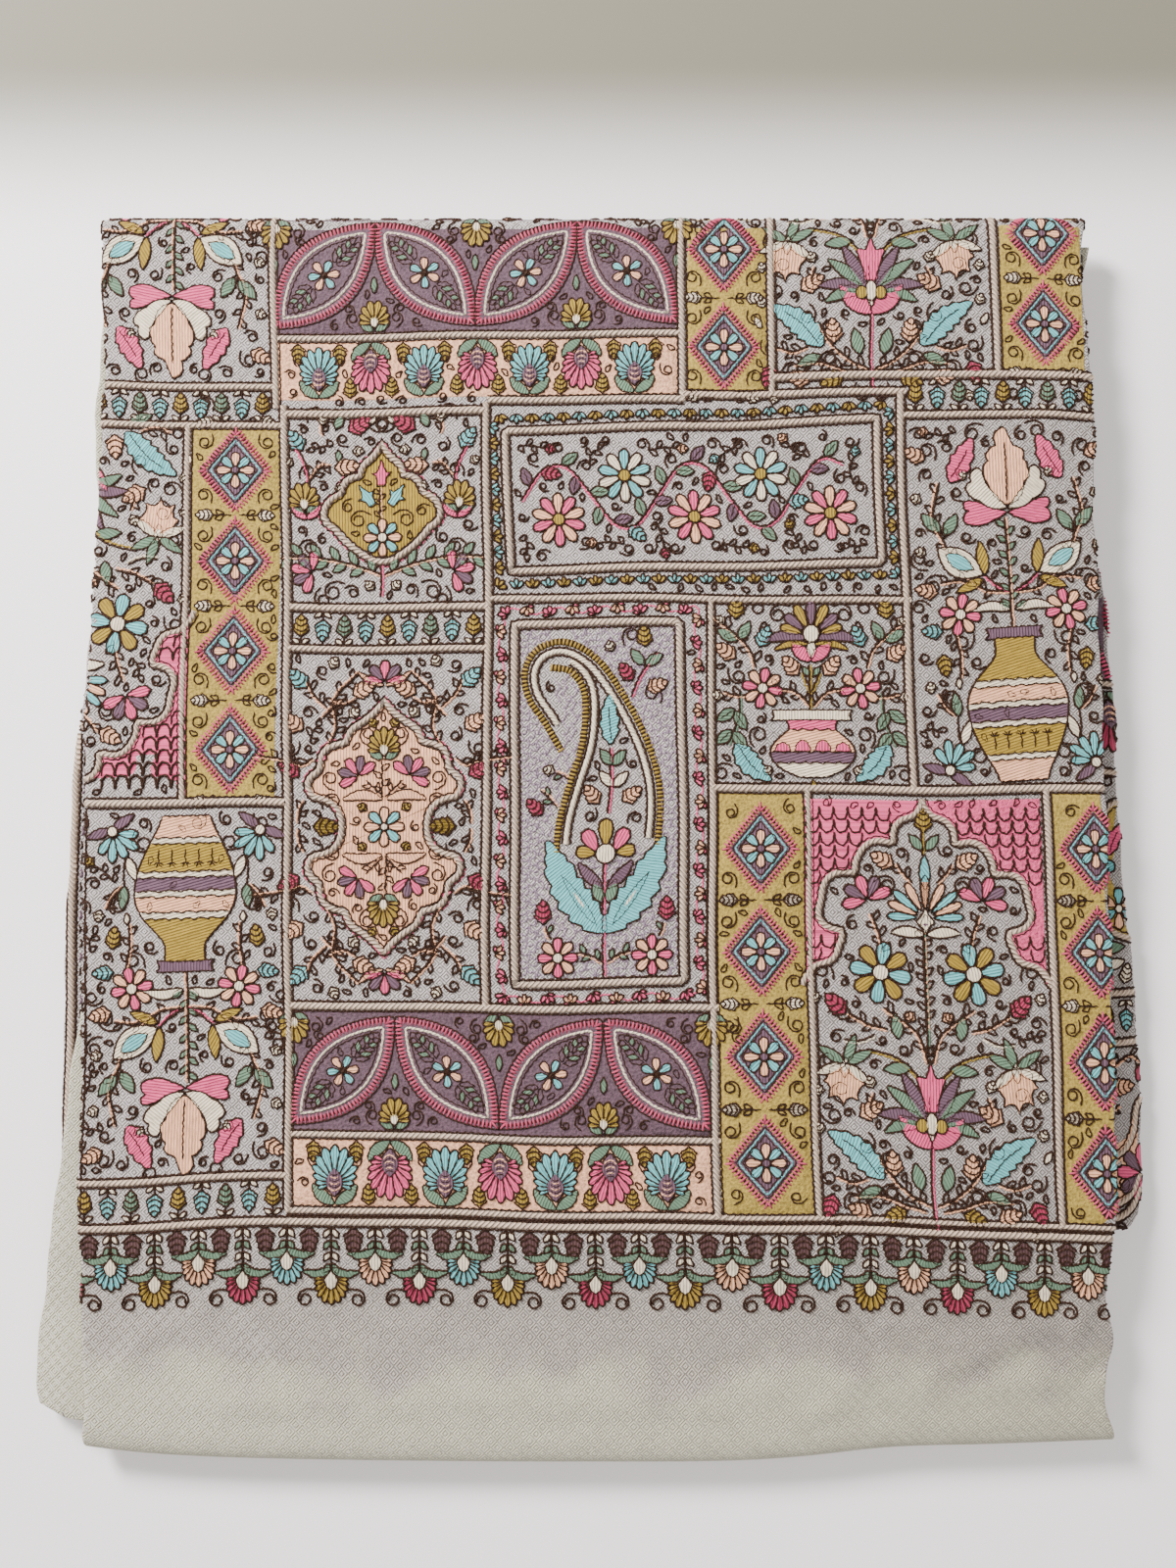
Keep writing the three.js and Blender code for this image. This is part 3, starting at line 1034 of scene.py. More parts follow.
def even(path: Array, step: float, closed: bool = False) -> Array:
    """Space points evenly along a path.

    Args:
        path: The path's points.
        step: How far apart the new ones are.
        closed: Whether it ends where it starts.

    Returns:
        The new points.
    """
    if closed:
        path = np.vstack([path, path[:1]])
    length = np.concatenate([[0], np.cumsum(np.hypot(*np.diff(path, axis=0).T))])
    count = max(4 if closed else 3, round(length[-1] / step) + 1)
    places = np.linspace(0, length[-1], count)[:-1 if closed else None]
    return abreast(np.interp(places, length, path[:, 0]), np.interp(places, length, path[:, 1]))


def curve(points: Sequence[Point], step: float = STEP) -> Array:
    """Draw a smooth path through points.

    Args:
        points: What the path goes through.
        step: How far apart its points are.

    Returns:
        The path.
    """
    knots = np.asarray(points, float)
    knots = np.vstack([2 * knots[0] - knots[1], knots, 2 * knots[-1] - knots[-2]])
    a, b, c, d = knots[:-3, None], knots[1:-2, None], knots[2:-1, None], knots[3:, None]
    t = np.linspace(0, 1, 12)[None, :-1, None]
    fine = (b + t / 2 * (c - a + t * (2 * a - 5 * b + 4 * c - d + t * (3 * (b - c) + d - a)))).reshape(-1, 2)
    return even(np.vstack([fine, knots[-2]]), step)


def lobes(rows: Sequence[tuple[float, float, float]], step: float = STEP) -> Array:
    """Join corners by arcs.

    Args:
        rows: Each corner's x and y, and how far the arc after it bulges to its left, as a share of its length.
        step: How far apart the points are.

    Returns:
        The path.
    """
    t = np.linspace(0, 1, 12)[:-1]
    pieces = []
    for (x0, y0, bulge), (x1, y1, _) in zip(rows, rows[1:]):
        out = 4 * bulge * t * (1 - t)
        pieces.append(abreast(mix(x0, x1, t) - (y1 - y0) * out, mix(y0, y1, t) + (x1 - x0) * out))
    pieces.append(np.array([rows[-1][:2]], float))
    return even(np.vstack(pieces), step)


def normals(path: Array, closed: bool = False) -> Array:
    """Give the direction to the left of a path at each point."""
    ahead = np.roll(path, -1, 0) - np.roll(path, 1, 0) if closed else np.gradient(path, axis=0)
    ahead = ahead / np.maximum(np.hypot(ahead[:, 0], ahead[:, 1]), 1e-9)[:, None]
    return abreast(-ahead[:, 1], ahead[:, 0])


def inside(ring: Array, points: Array) -> Array:
    """Tell which points lie inside a closed ring.

    Args:
        ring: The ring's corners.
        points: What to test.

    Returns:
        True for each point inside.
    """
    x, y = points[:, 0, None], points[:, 1, None]
    a, b = ring, np.roll(ring, -1, 0)
    spans = (a[:, 1] > y) != (b[:, 1] > y)
    cross = a[:, 0] + (y - a[:, 1]) * (b[:, 0] - a[:, 0]) / np.where(b[:, 1] == a[:, 1], 1e-9, b[:, 1] - a[:, 1])
    return (spans & (x < cross)).sum(axis=1) % 2 == 1


@dataclass
class Patch:
    """A filled shape, flat, before it is laid on the cloth."""

    points: Array
    heights: Array
    faces: Array
    coords: Array
    thread: Thread

    def cover(self) -> Array:
        """Give flat points all over the shape."""
        a, b, c = np.moveaxis(self.points[self.faces], 1, 0)
        return np.concatenate([a, b, c, (a + b) / 2, (b + c) / 2, (a + b + c) / 3])


@dataclass
class Strand:
    """A thread along a path, flat: its middle line, its half widths and how high the line lies."""

    points: Array
    half: Array
    lift: float
    closed: bool
    thread: Thread

    def cover(self) -> Array:
        """Give flat points all along the path."""
        return self.points


@dataclass
class ShortStitches:
    """Short stitches side by side, flat: their middles, headings and half lengths."""

    points: Array
    ahead: Array
    reach: Array
    thread: Thread

    def cover(self) -> Array:
        """Give flat points all over the stitches."""
        out = self.ahead * self.reach[:, None]
        return np.concatenate([self.points, self.points + out, self.points - out])


class Needlework:
    """All the stitches on one turn of the cloth."""

    def __init__(self, seed: int) -> None:
        """Start with none.

        Args:
            seed: Where the small differences between stitches start.
        """
        self.random = np.random.default_rng(seed)
        self.stitches: dict[Kind, list[Patch | Strand | ShortStitches]] = {kind: [] for kind in Kind}

    def lay(self, turn: Turn, drift: Callable[[Array, Array], tuple[Array, Array]], prefix: str,
            threads: dict[Thread, Material]) -> list[Object]:
        """Lay the stitches on a turn of the cloth, as objects.

        Args:
            turn: The turn that they lie on.
            drift: How far the work wanders across and along at each place.
            prefix: What each object's name starts with.
            threads: The material of each thread.

        Returns:
            The objects.
        """
        objects = []
        for kind, stitches in self.stitches.items():
            batch: list[Patch | Strand | ShortStitches] = []
            size = 0
            for number, stitch in enumerate(stitches, 1):
                batch.append(stitch)
                size += kind.faces * len(stitch.points)
                if size > PIECE_LIMIT or number == len(stitches):
                    name = f"{prefix}{kind.title}_{len(objects) + 1}"
                    objects.append(Layer(turn, drift, batch, threads).make(name, kind))
                    batch, size = [], 0
        return objects


@dataclass
class Layer:
    """Stitches of one kind that are laid together.

    Attributes:
        turn: The turn of cloth that they lie on.
        drift: How far the work wanders across and along at each place.
        batch: The stitches.
        threads: The material of each thread.
    """

    turn: Turn
    drift: Callable[[Array, Array], tuple[Array, Array]]
    batch: Sequence
    threads: dict[Thread, Material]

    def __post_init__(self) -> None:
        """List the threads that the stitches use."""
        self.used = sorted({stitch.thread for stitch in self.batch}, key=lambda thread: thread.name)
        self.materials = [self.threads[thread] for thread in self.used]

    def make(self, name: str, kind: Kind) -> Object:
        """Make the object of the layer's kind of needlework.

        Args:
            name: The object's name.
            kind: The kind of needlework.

        Returns:
            The object.
        """
        if kind in (Kind.GROUND, Kind.FILL):
            return self.patches(name)
        if kind is Kind.SHORT:
            return self.short_stitches(name)
        return self.strands(name, kind.profile)

    def place(self, flat: Array, lift: Array | float) -> tuple[Array, Array]:
        """Carry flat points to the turn's outside, and tell which lie where the cloth shows.

        Args:
            flat: The points on the flat cloth.
            lift: How far above it they are.

        Returns:
            The points in space, and which of them lie where the cloth shows.
        """
        du, dv = self.drift(flat[:, 0], flat[:, 1])
        u, v = flat[:, 0] + du, flat[:, 1] + dv
        points, shows = self.turn.on_outside(u, v, lift)
        return points, shows & (v < self.turn.profile.length[-1] - 20) & (v > self.turn.profile.length[0])

    def numbers(self, counts: Sequence[int]) -> Array:
        """Give the number of its thread for each element of each stitch."""
        return np.repeat([self.used.index(stitch.thread) for stitch in self.batch], counts)

    def patches(self, name: str) -> Object:
        """Join the filled shapes, without what lies round the back of the fold.

        Args:
            name: The object's name.

        Returns:
            The object.
        """
        points, shows = self.place(np.concatenate([patch.points for patch in self.batch]),
                                   np.concatenate([patch.heights for patch in self.batch]))
        coords = np.concatenate([patch.coords for patch in self.batch])
        starts = np.cumsum([0] + [len(patch.points) for patch in self.batch[:-1]])
        faces = np.concatenate([patch.faces + start for patch, start in zip(self.batch, starts)])
        slots = self.numbers([len(patch.faces) for patch in self.batch])
        kept = shows[faces].all(axis=1)
        numbers, faces = np.unique(faces[kept], return_inverse=True)
        obj = make_object(name, points[numbers], faces.reshape(-1, 3), coords[numbers], self.materials,
                          slots[kept])
        obj.data.set_sharp_from_angle(angle=SHARP_EDGE)
        return obj

    def strands(self, name: str, sizes: dict[str, float]) -> Object:
        """Make the threads that follow paths.

        Args:
            name: The object's name.
            sizes: The tree's named inputs.

        Returns:
            The object.
        """
        flat = np.concatenate([strand.points for strand in self.batch])
        counts = [len(strand.points) for strand in self.batch]
        lift = np.repeat([strand.lift for strand in self.batch], counts)
        points, shows = self.place(flat, lift)
        above, _ = self.place(flat, lift + 1.0)
        along = np.concatenate([[0, *np.cumsum(np.hypot(*np.diff(strand.points, axis=0).T))]
                                for strand in self.batch])
        along += np.repeat(np.arange(len(counts)) * 7.3 % 97, counts)
        starts = np.cumsum([0, *counts[:-1]])
        edges = np.concatenate([
            start + abreast(np.arange(count), (np.arange(count) + 1) % count)[:None if strand.closed else -1]
            for strand, start, count in zip(self.batch, starts, counts)])
        edges = edges[shows[edges].all(axis=1)]
        numbers, edges = np.unique(edges, return_inverse=True)
        source = StitchSource(name, points[numbers], edges.reshape(-1, 2))
        source.attribute("upright", "FLOAT_VECTOR", (above - points)[numbers])
        source.attribute("half", "FLOAT", np.concatenate([strand.half for strand in self.batch])[numbers] * MM)
        source.attribute("along", "FLOAT", along[numbers])
        source.attribute("thread", "INT", self.numbers(counts)[numbers])
        return source.grow(StitchTree("thread_along_a_path", self.materials).along_paths(), sizes)

    def short_stitches(self, name: str) -> Object:
        """Make the short stitches side by side.

        Args:
            name: The object's name.

        Returns:
            The object.
        """
        flat = np.concatenate([row.points for row in self.batch])
        ahead = np.concatenate([row.ahead for row in self.batch])
        points, shows = self.place(flat, 0.0)
        upright = self.place(flat, 1.0)[0] - points
        z = upright / np.linalg.norm(upright, axis=1)[:, None]
        x = self.place(flat + 0.4 * ahead, 0.0)[0] - points
        x = x - z * (x * z).sum(axis=1)[:, None]
        x = x / np.linalg.norm(x, axis=1)[:, None]
        y = np.cross(z, x)
        facing = abreast(np.arctan2(y[:, 2], z[:, 2]), -np.arcsin(np.clip(x[:, 2], -1, 1)),
                           np.arctan2(x[:, 1], x[:, 0]))
        counts = [len(row.points) for row in self.batch]
        source = StitchSource(name, points[shows], np.empty((0, 2), int))
        source.attribute("facing", "FLOAT_VECTOR", facing[shows])
        source.attribute("half", "FLOAT", np.concatenate([row.reach for row in self.batch])[shows] * MM)
        source.attribute("along", "FLOAT", np.arange(len(flat))[shows] * 5.7 % 83)
        source.attribute("thread", "INT", self.numbers(counts)[shows])
        return source.grow(StitchTree("short_stitches_side_by_side", self.materials).side_by_side(),
                           {"Half width": 0.43 * MM, "Height": 0.7 * MM})


class StitchSource:
    """A mesh of places, with what each place knows, that a stitch tree turns into stitches."""

    def __init__(self, name: str, points: Array, edges: Array) -> None:
        """Make the mesh from points in millimetres and the edges that join them.

        Args:
            name: The mesh's name.
            points: The places.
            edges: Pairs of places.
        """
        self.mesh = bpy.data.meshes.new(name)
        self.mesh.vertices.add(len(points))
        self.mesh.vertices.foreach_set("co", (points * MM).astype(np.float32).ravel())
        self.mesh.edges.add(len(edges))
        self.mesh.edges.foreach_set("vertices", edges.astype(np.int32).ravel())
        self.names: list[str] = []

    def attribute(self, name: str, kind: str, values: Array) -> None:
        """Give each place a value.

        Args:
            name: The attribute's name.
            kind: Its data type.
            values: One for each place.
        """
        layer = self.mesh.attributes.new(name, kind, "POINT")
        key, number = {"FLOAT_VECTOR": ("vector", np.float32), "FLOAT": ("value", np.float32),
                       "INT": ("value", np.int32)}[kind]
        layer.data.foreach_set(key, np.asarray(values).astype(number).ravel())
        self.names.append(name)

    def grow(self, tree: NodeTree, sizes: dict[str, float]) -> Object:
        """Run a stitch tree on the places and keep the plain mesh that it makes.

        Args:
            tree: The tree.
            sizes: The value of each of its named inputs.

        Returns:
            The object.
        """
        obj = bpy.data.objects.new(self.mesh.name, self.mesh)
        bpy.context.scene.collection.objects.link(obj)
        modifier = obj.modifiers.new("stitches", "NODES")
        modifier.node_group = tree
        for socket in tree.interface.items_tree:
            if socket.name in sizes:
                modifier[socket.identifier] = sizes[socket.name]
        done = obj.evaluated_get(bpy.context.evaluated_depsgraph_get())
        mesh = bpy.data.meshes.new_from_object(done)
        obj.modifiers.clear()
        obj.data = mesh
        bpy.data.meshes.remove(self.mesh)
        for name in (*self.names, "across", "shape"):
            if name in mesh.attributes:
                mesh.attributes.remove(mesh.attributes[name])
        mesh.shade_smooth()
        return obj


class StitchTree(NodeMaker):
    """A Geometry Nodes tree that makes stitches from a mesh of places."""

    def __init__(self, name: str, materials: Sequence[Material]) -> None:
        """Start a tree.

        Args:
            name: Its name.
            materials: The threads' materials, in the order of the places' thread numbers.
        """
        super().__init__(bpy.data.node_groups.new(name, "GeometryNodeTree"))
        self.materials = materials
        self.tree.interface.new_socket("Places", in_out="INPUT", socket_type="NodeSocketGeometry")
        self.tree.interface.new_socket("Stitches", in_out="OUTPUT", socket_type="NodeSocketGeometry")

    def sizes(self, **kinds: str) -> Node:
        """Add named inputs of the given socket types, and give the tree's input node."""
        for name, kind in kinds.items():
            self.tree.interface.new_socket(name.replace("_", " "), in_out="INPUT", socket_type=kind)
        return self.tree.nodes.new("NodeGroupInput")

    def read(self, name: str, kind: str = "FLOAT") -> Socket:
        """Read what each place knows."""
        return self.node("GeometryNodeInputNamedAttribute", {"data_type": kind}, {"Name": name}).outputs[0]

    def store(self, geometry: Socket, name: str, kind: str, domain: str,
              value: Socket) -> Socket:
        """Store a value on the geometry."""
        return self.node("GeometryNodeStoreNamedAttribute", {"data_type": kind, "domain": domain},
                         {"Geometry": geometry, "Name": name, "Value": value}).outputs[0]

    def cloth(self, geometry: Socket, x: Value, y: Value) -> Socket:
        """Store the thread coordinates in millimetres as the UV map."""
        both = self.node("ShaderNodeCombineXYZ", {}, {0: x, 1: y})
        return self.store(geometry, "Cloth", "FLOAT2", "CORNER", both.outputs[0])

    def finish(self, geometry: Socket) -> NodeTree:
        """End the tree in plain geometry, with each thread's material on its own stitches.

        Args:
            geometry: What the tree has made.

        Returns:
            The tree.
        """
        geometry = self.node("GeometryNodeRealizeInstances", {}, {0: geometry}).outputs[0]
        number = self.read("thread", "INT")
        for slot, material in enumerate(self.materials):
            own = self.node("FunctionNodeCompare", {"data_type": "INT", "operation": "EQUAL"},
                            {2: number, 3: slot})
            geometry = self.node("GeometryNodeSetMaterial", {}, {
                0: geometry, 1: own.outputs[0], 2: material}).outputs[0]
        output = self.tree.nodes.new("NodeGroupOutput")
        self.tree.links.new(geometry, output.inputs[0])
        return self.tree

    def along_paths(self) -> NodeTree:
        """Make a thread of rounded section along each chain of edges.

        Returns:
            The tree.
        """
        given = self.sizes(Section_points="NodeSocketInt", Half_turn="NodeSocketFloat")
        half_turn = Value(self, given.outputs["Half turn"])
        curve = self.node("GeometryNodeMeshToCurve", {}, {0: given.outputs["Places"]}).outputs[0]
        curve = self.node("GeometryNodeSetCurveNormal", {"mode": "FREE"}, {
            0: curve, "Normal": self.read("upright", "FLOAT_VECTOR")}).outputs[0]
        arc = self.node("GeometryNodeCurveArc", {}, {
            "Resolution": given.outputs["Section points"], "Radius": 1.0, "Start Angle": half_turn * -1.0,
            "Sweep Angle": half_turn * 2.0}).outputs[0]
        place = self.node("GeometryNodeInputPosition", {}, {})
        sides = self.node("ShaderNodeSeparateXYZ", {}, {0: place.outputs[0]})
        arc = self.store(arc, "across", "FLOAT", "POINT", sides.outputs[1])
        mesh = self.node("GeometryNodeCurveToMesh", {}, {
            "Curve": curve, "Profile Curve": arc, "Scale": self.read("half")}).outputs[0]
        across = Value(self, self.read("across")) * Value(self, self.read("half")) * (1 / MM)
        along = Value(self, self.read("along"))
        mesh = self.cloth(mesh, along * 0.45 - across * 0.9, along * 0.72 + across * 0.7)
        return self.finish(mesh)

    def side_by_side(self) -> NodeTree:
        """Make one short plump stitch at each place.

        Returns:
            The tree.
        """
        given = self.sizes(Half_width="NodeSocketFloat", Height="NodeSocketFloat")
        ball = self.node("GeometryNodeMeshIcoSphere", {}, {"Radius": 1.0, "Subdivisions": 1}).outputs[0]
        place = self.node("GeometryNodeInputPosition", {}, {})
        ball = self.store(ball, "shape", "FLOAT_VECTOR", "POINT", place.outputs[0])
        turn = self.node("FunctionNodeEulerToRotation", {}, {0: self.read("facing", "FLOAT_VECTOR")})
        size = self.node("ShaderNodeCombineXYZ", {}, {
            0: self.read("half"), 1: given.outputs["Half width"], 2: given.outputs["Height"]})
        stitches = self.node("GeometryNodeInstanceOnPoints", {}, {
            "Points": given.outputs["Places"], "Instance": ball, "Rotation": turn.outputs[0],
            "Scale": size.outputs[0]}).outputs[0]
        stitches = self.node("GeometryNodeRealizeInstances", {}, {0: stitches}).outputs[0]
        shape = self.node("ShaderNodeSeparateXYZ", {}, {0: self.read("shape", "FLOAT_VECTOR")})
        start = Value(self, self.read("along"))
        stitches = self.cloth(stitches, Value(self, shape.outputs[0]) * 1.6 + start,
                              Value(self, shape.outputs[1]) * 0.4 + start * 0.37)
        return self.finish(stitches)


class Needle:
    """Draws stitches and motifs from a place on the cloth, where a motif points ahead along +Y."""

    def __init__(self, work: Needlework, frame: Array | None = None, place: Array | None = None) -> None:
        """Hold a place.

        Args:
            work: The needlework that the stitches join.
            frame: How the motif's own directions lie on the cloth.
            place: Where the motif's origin lies.
        """
        self.work = work
        self.frame = np.eye(2) if frame is None else frame
        self.place = np.zeros(2) if place is None else place

    def at(self, x: float, y: float, turn: float = 0, size: float = 1, flip: bool = False) -> "Needle":
        """Give a needle at a place, turned anticlockwise in degrees, sized and mirrored."""
        cos, sin = math.cos(math.radians(turn)), math.sin(math.radians(turn))
        local = np.array([[cos, -sin], [sin, cos]]) @ np.diag([-size if flip else size, size])
        return Needle(self.work, self.frame @ local, self.place + self.frame @ np.array([x, y], float))

    def sides(self) -> tuple["Needle", "Needle"]:
        """Give this needle and its mirror image, for a motif that is alike on both sides."""
        return self, self.at(0, 0, flip=True)

    def on_cloth(self, points: Array) -> Array:
        """Carry the motif's points to the cloth."""
        return np.asarray(points, float) @ self.frame.T + self.place

    @property
    def scale(self) -> float:
        """How much the needle enlarges."""
        return math.sqrt(abs(np.linalg.det(self.frame)))

    def add(self, kind: Kind, points: Array, heights: Array, faces: Array, coords: Array,
            thread: Thread) -> None:
        """Add a filled shape to the work."""
        self.work.stitches[kind].append(Patch(points, heights, faces, coords, thread))

    def line(self, path: Array, thread: Thread = BROWN, width: float = 1.1, height: float = 0.6,
             closed: bool = False, wobble: float = 0.16, step: float = STEP) -> None:
        """Draw a line of stem stitches.

        Args:
            path: The middle of the line.
            thread: Its thread.
            width: How wide it is.
            height: How far it stands above the cloth.
            closed: Whether it comes back to its start.
            wobble: How far each stitch slants off the line.
            step: How far apart the points are.
        """
        path = even(self.on_cloth(path), step, closed)
        count = len(path)
        left = normals(path, closed)
        step = np.hypot(*(path[1] - path[0]))
        length = np.arange(count) * step
        beat = np.sin(2 * math.pi * length / 2.15 + self.work.random.uniform(0, 6.28))
        path = path + left * (wobble * beat + 0.05 * self.work.random.standard_normal(count))[:, None]
        half = width / 2 * (1 + 0.16 * beat)
        if not closed:
            half[[0, -1]] *= 0.45
        self.work.stitches[Kind.OUTLINE].append(Strand(path, half, height - width / 2, closed, thread))

    def fan(self, ring: Array, thread: Thread, height: float = 0.4, grain: float = 0, rings: int = 1,
            kind: Kind = Kind.FILL) -> None:
        """Fill a shape that spreads from its middle.

        Args:
            ring: Its outline.
            thread: Its thread.
            height: How far it stands above the cloth.
            grain: How its stitches are turned from the motif's own direction, in degrees.
            rings: How many rings of faces it has inside its edge.
            kind: Which needlework it belongs to.
        """
        ring = self.on_cloth(ring)
        following = np.roll(ring, -1, 0)
        if (ring[:, 0] * following[:, 1] - ring[:, 1] * following[:, 0]).sum() < 0:
            ring = ring[::-1]
        count = len(ring)
        middle = ring.mean(axis=0)
        reach = np.hypot(*(ring - middle).T).mean()
        shoulder = max(0.45, 1 - 0.42 / reach)
        shares = [1] + list(np.linspace(shoulder, 0, rings + 1)[:-1])
        points = np.vstack([middle + (ring - middle) * share for share in shares] + [middle])
        heights = np.concatenate([np.full(count, SEAT), np.full(rings * count, height), [height * 1.12]])
        k = np.arange(count)
        after = (k + 1) % count
        faces = []
        for level in range(len(shares) - 1):
            low, high = level * count, (level + 1) * count
            faces.append(abreast(low + k, low + after, high + after))
            faces.append(abreast(low + k, high + after, high + k))
        last = (len(shares) - 1) * count
        faces.append(abreast(last + k, last + after, np.full(count, last + count)))
        turned = self.frame @ np.array([-math.sin(math.radians(grain)), math.cos(math.radians(grain))])
        turned = turned / np.hypot(*turned)
        coords = np.stack([points @ turned, points @ np.array([-turned[1], turned[0]])], axis=-1)
        self.add(kind, points, heights, np.concatenate(faces), coords, thread)

    def blade(self, spine: Array, left: Array, right: Array, thread: Thread, height: float = 0.4,
              outline: bool = True) -> None:
        """Fill a shape on both sides of a line, with its stitches across the line.

        Args:
            spine: The line.
            left: How far the shape reaches to the left at each point.
            right: How far it reaches to the right.
            thread: Its thread.
            height: How far it stands above the cloth.
            outline: Whether it has a line round it.
        """
        side = normals(np.asarray(spine, float))
        left_edge, right_edge = spine + side * left[:, None], spine - side * right[:, None]
        over = self.scale
        tuck_left = np.maximum(left - 0.38 / over, 0.45 * left)
        tuck_right = np.maximum(right - 0.38 / over, 0.45 * right)
        columns = [left_edge, spine + side * tuck_left[:, None], spine, spine - side * tuck_right[:, None],
                   right_edge]
        if np.linalg.det(self.frame) < 0:
            columns = columns[::-1]
        points = self.on_cloth(np.stack(columns, axis=1).reshape(-1, 2))
        count = len(spine)
        heights = np.tile([SEAT, height, height * 1.1, height, SEAT], count)
        i, k = np.meshgrid(np.arange(count - 1), np.arange(4))
        a = (5 * i + k).ravel()
        faces = np.concatenate([abreast(a, a + 1, a + 6), abreast(a, a + 6, a + 5)])
        across = np.stack([left, tuck_left, 0 * left, -tuck_right, -right], axis=1).ravel() * over
        length = np.concatenate([[0], np.cumsum(np.hypot(*np.diff(spine, axis=0).T))]) * over
        coords = abreast(across, np.repeat(length, 5) + 0.25 * across)
        self.add(Kind.FILL, points, heights, faces, coords + points[0], thread)
        if outline:
            self.line(np.vstack([left_edge, right_edge[::-1]]), closed=True)

    def comb(self, path: Array, width: float, thread: Thread, closed: bool = False) -> None:
        """Draw a border of short stitches side by side across a line, with brown between them.

        Args:
            path: The line.
            width: How long the stitches are.
            thread: Their thread.
            closed: Whether the line ends where it starts.
        """
        path = even(self.on_cloth(path), COMB_PITCH, closed)
        side = normals(path, closed)
        base = np.vstack([path, path[:1]]) if closed else path
        half = np.full(len(base), width * 0.46)
        Needle(self.work).blade(base, half, half, BROWN, 0.16, outline=False)
        reach = width / 2 * (1 + 0.07 * self.work.random.standard_normal(len(path)))
        self.work.stitches[Kind.SHORT].append(ShortStitches(path, side, reach, thread))

    def cord(self, path: Array, width: float, closed: bool = False, thread: Thread = CORD) -> None:
        """Draw a couched cord with a wavy brown line on each side.

        Args:
            path: Its middle line.
            width: How thick it is.
            closed: Whether it ends where it starts.
            thread: Its thread.
        """
        path = even(self.on_cloth(path), 1.6, closed)
        count = len(path)
        side = normals(path, closed)
        half = width / 2 * (1 + 0.05 * self.work.random.standard_normal(count))
        self.work.stitches[Kind.CORD].append(Strand(path, half, -0.15, closed, thread))
        for sign in (1, -1):
            edge = path + sign * side * (width / 2 + 0.35)
            Needle(self.work).line(edge, width=0.95, wobble=0.2, closed=closed)

    def stem(self, points: Sequence[Point], core: Thread | None = PEACH) -> Array:
        """Draw a stem through points: a coloured core with a brown line along it.

        Args:
            points: What it goes through.
            core: The core's thread, or none.

        Returns:
            The brown line's path.
        """
        path = curve(points)
        if core is not None:
            self.line(path, core, 0.95, 0.5)
            path = path + normals(path) * 0.7 / self.scale
        self.line(path, width=1)
        return path

    def heading(self, path: Array, share: float) -> "Needle":
        """Give a needle part of the way along a path, pointing along it."""
        i = min(int(share * (len(path) - 1)), len(path) - 2)
        dx, dy = path[i + 1] - path[i]
        return self.at(*path[i], turn=math.degrees(math.atan2(-dx, dy)))

    def sprig(self, points: Sequence[Point], leaf: float = 3.2, gap: float = 2.6, thread: Thread | None = None
              ) -> None:
        """Draw a stem with small leaves on alternate sides.

        Args:
            points: What its stem goes through.
            leaf: How long the leaves are.
            gap: How far apart they are.
            thread: Their thread, or none for outlines.
        """
        path = self.stem(points)
        total = np.hypot(*np.diff(path, axis=0).T).sum()
        count = max(2, round(total / gap))
        for number in range(1, count):
            side = 1 if number % 2 else -1
            self.heading(path, number / count).at(0, 0, 48 * side).leaf(leaf, leaf * 0.46, thread)

    def leaf(self, length: float, width: float, thread: Thread | None = GREEN, vein: bool = False) -> None:
        """Draw a pointed leaf ahead of the needle.

        Args:
            length: How long it is.
            width: How wide it is.
            thread: Its thread, or none for an outline.
            vein: Whether it has a vein.
        """
        t = np.linspace(0, 1, 7)
        out = width / 2 * np.sin(math.pi * t ** 0.85) ** 0.85
        ring = np.concatenate([abreast(out, length * t), abreast(-out, length * t)[-2:0:-1]])
        if thread is not None:
            self.fan(ring, thread, 0.4, grain=35)
        self.line(ring, closed=True, width=0.92, step=0.62 if length < 4.5 else STEP)
        if vein:
            self.line([(0, 0.12 * length), (0, 0.5 * length), (0, 0.78 * length)], width=0.6, height=0.7)

    def petal(self, length: float, width: float, thread: Thread, start: float = 0, point: float = 0) -> None:
        """Draw a petal ahead of the needle, with a round end, or a pointed one if point is one.

        Args:
            length: How long it is.
            width: How wide it is.
            thread: Its thread.
            start: How far ahead it starts.
            point: How pointed it is, up to one.
        """
        a = np.linspace(0, 2 * math.pi, 15)[:-1]
        along = (1 - np.cos(a)) / 2
        out = np.sin(a) * mix(0.4 + 0.75 * along, 1.15 - 0.3 * along, point)
        ring = abreast(width / 2 * out, start + length * along)
        self.fan(ring, thread)
        self.line(ring, closed=True, width=1, height=0.64)

    def disc(self, radius: float, thread: Thread, tall: float = 1) -> None:
        """Draw a small round or oval centre about the needle.

        Args:
            radius: Its radius across.
            thread: Its thread.
            tall: Its radius ahead, against that across.
        """
        a = np.linspace(0, 2 * math.pi, 11)[:-1]
        ring = abreast(radius * np.cos(a), radius * tall * np.sin(a))
        self.fan(ring, thread, 0.7)
        self.line(ring, closed=True, width=0.7, height=0.8)

    def flower(self, petals: int, radius: float, threads: Sequence[Thread], heart: Thread = CREAM,
               core: float = 0.27, first: float = 0) -> None:
        """Draw petals about a centre.

        Args:
            petals: How many there are.
            radius: How far they reach.
            threads: The threads that they take in turn.
            heart: The centre's thread.
            core: The centre's radius as a share.
            first: Where the first petal points, in degrees.
        """
        step = 360 / petals
        width = min(1.42 * radius * math.sin(math.radians(step / 2)), radius * 0.6)
        for number in range(petals):
            thread = threads[number % len(threads)]
            self.at(0, 0, first + number * step).petal(
                radius * (1 - core * 0.75), width, thread, radius * core * 0.75)
        self.disc(radius * core, heart)

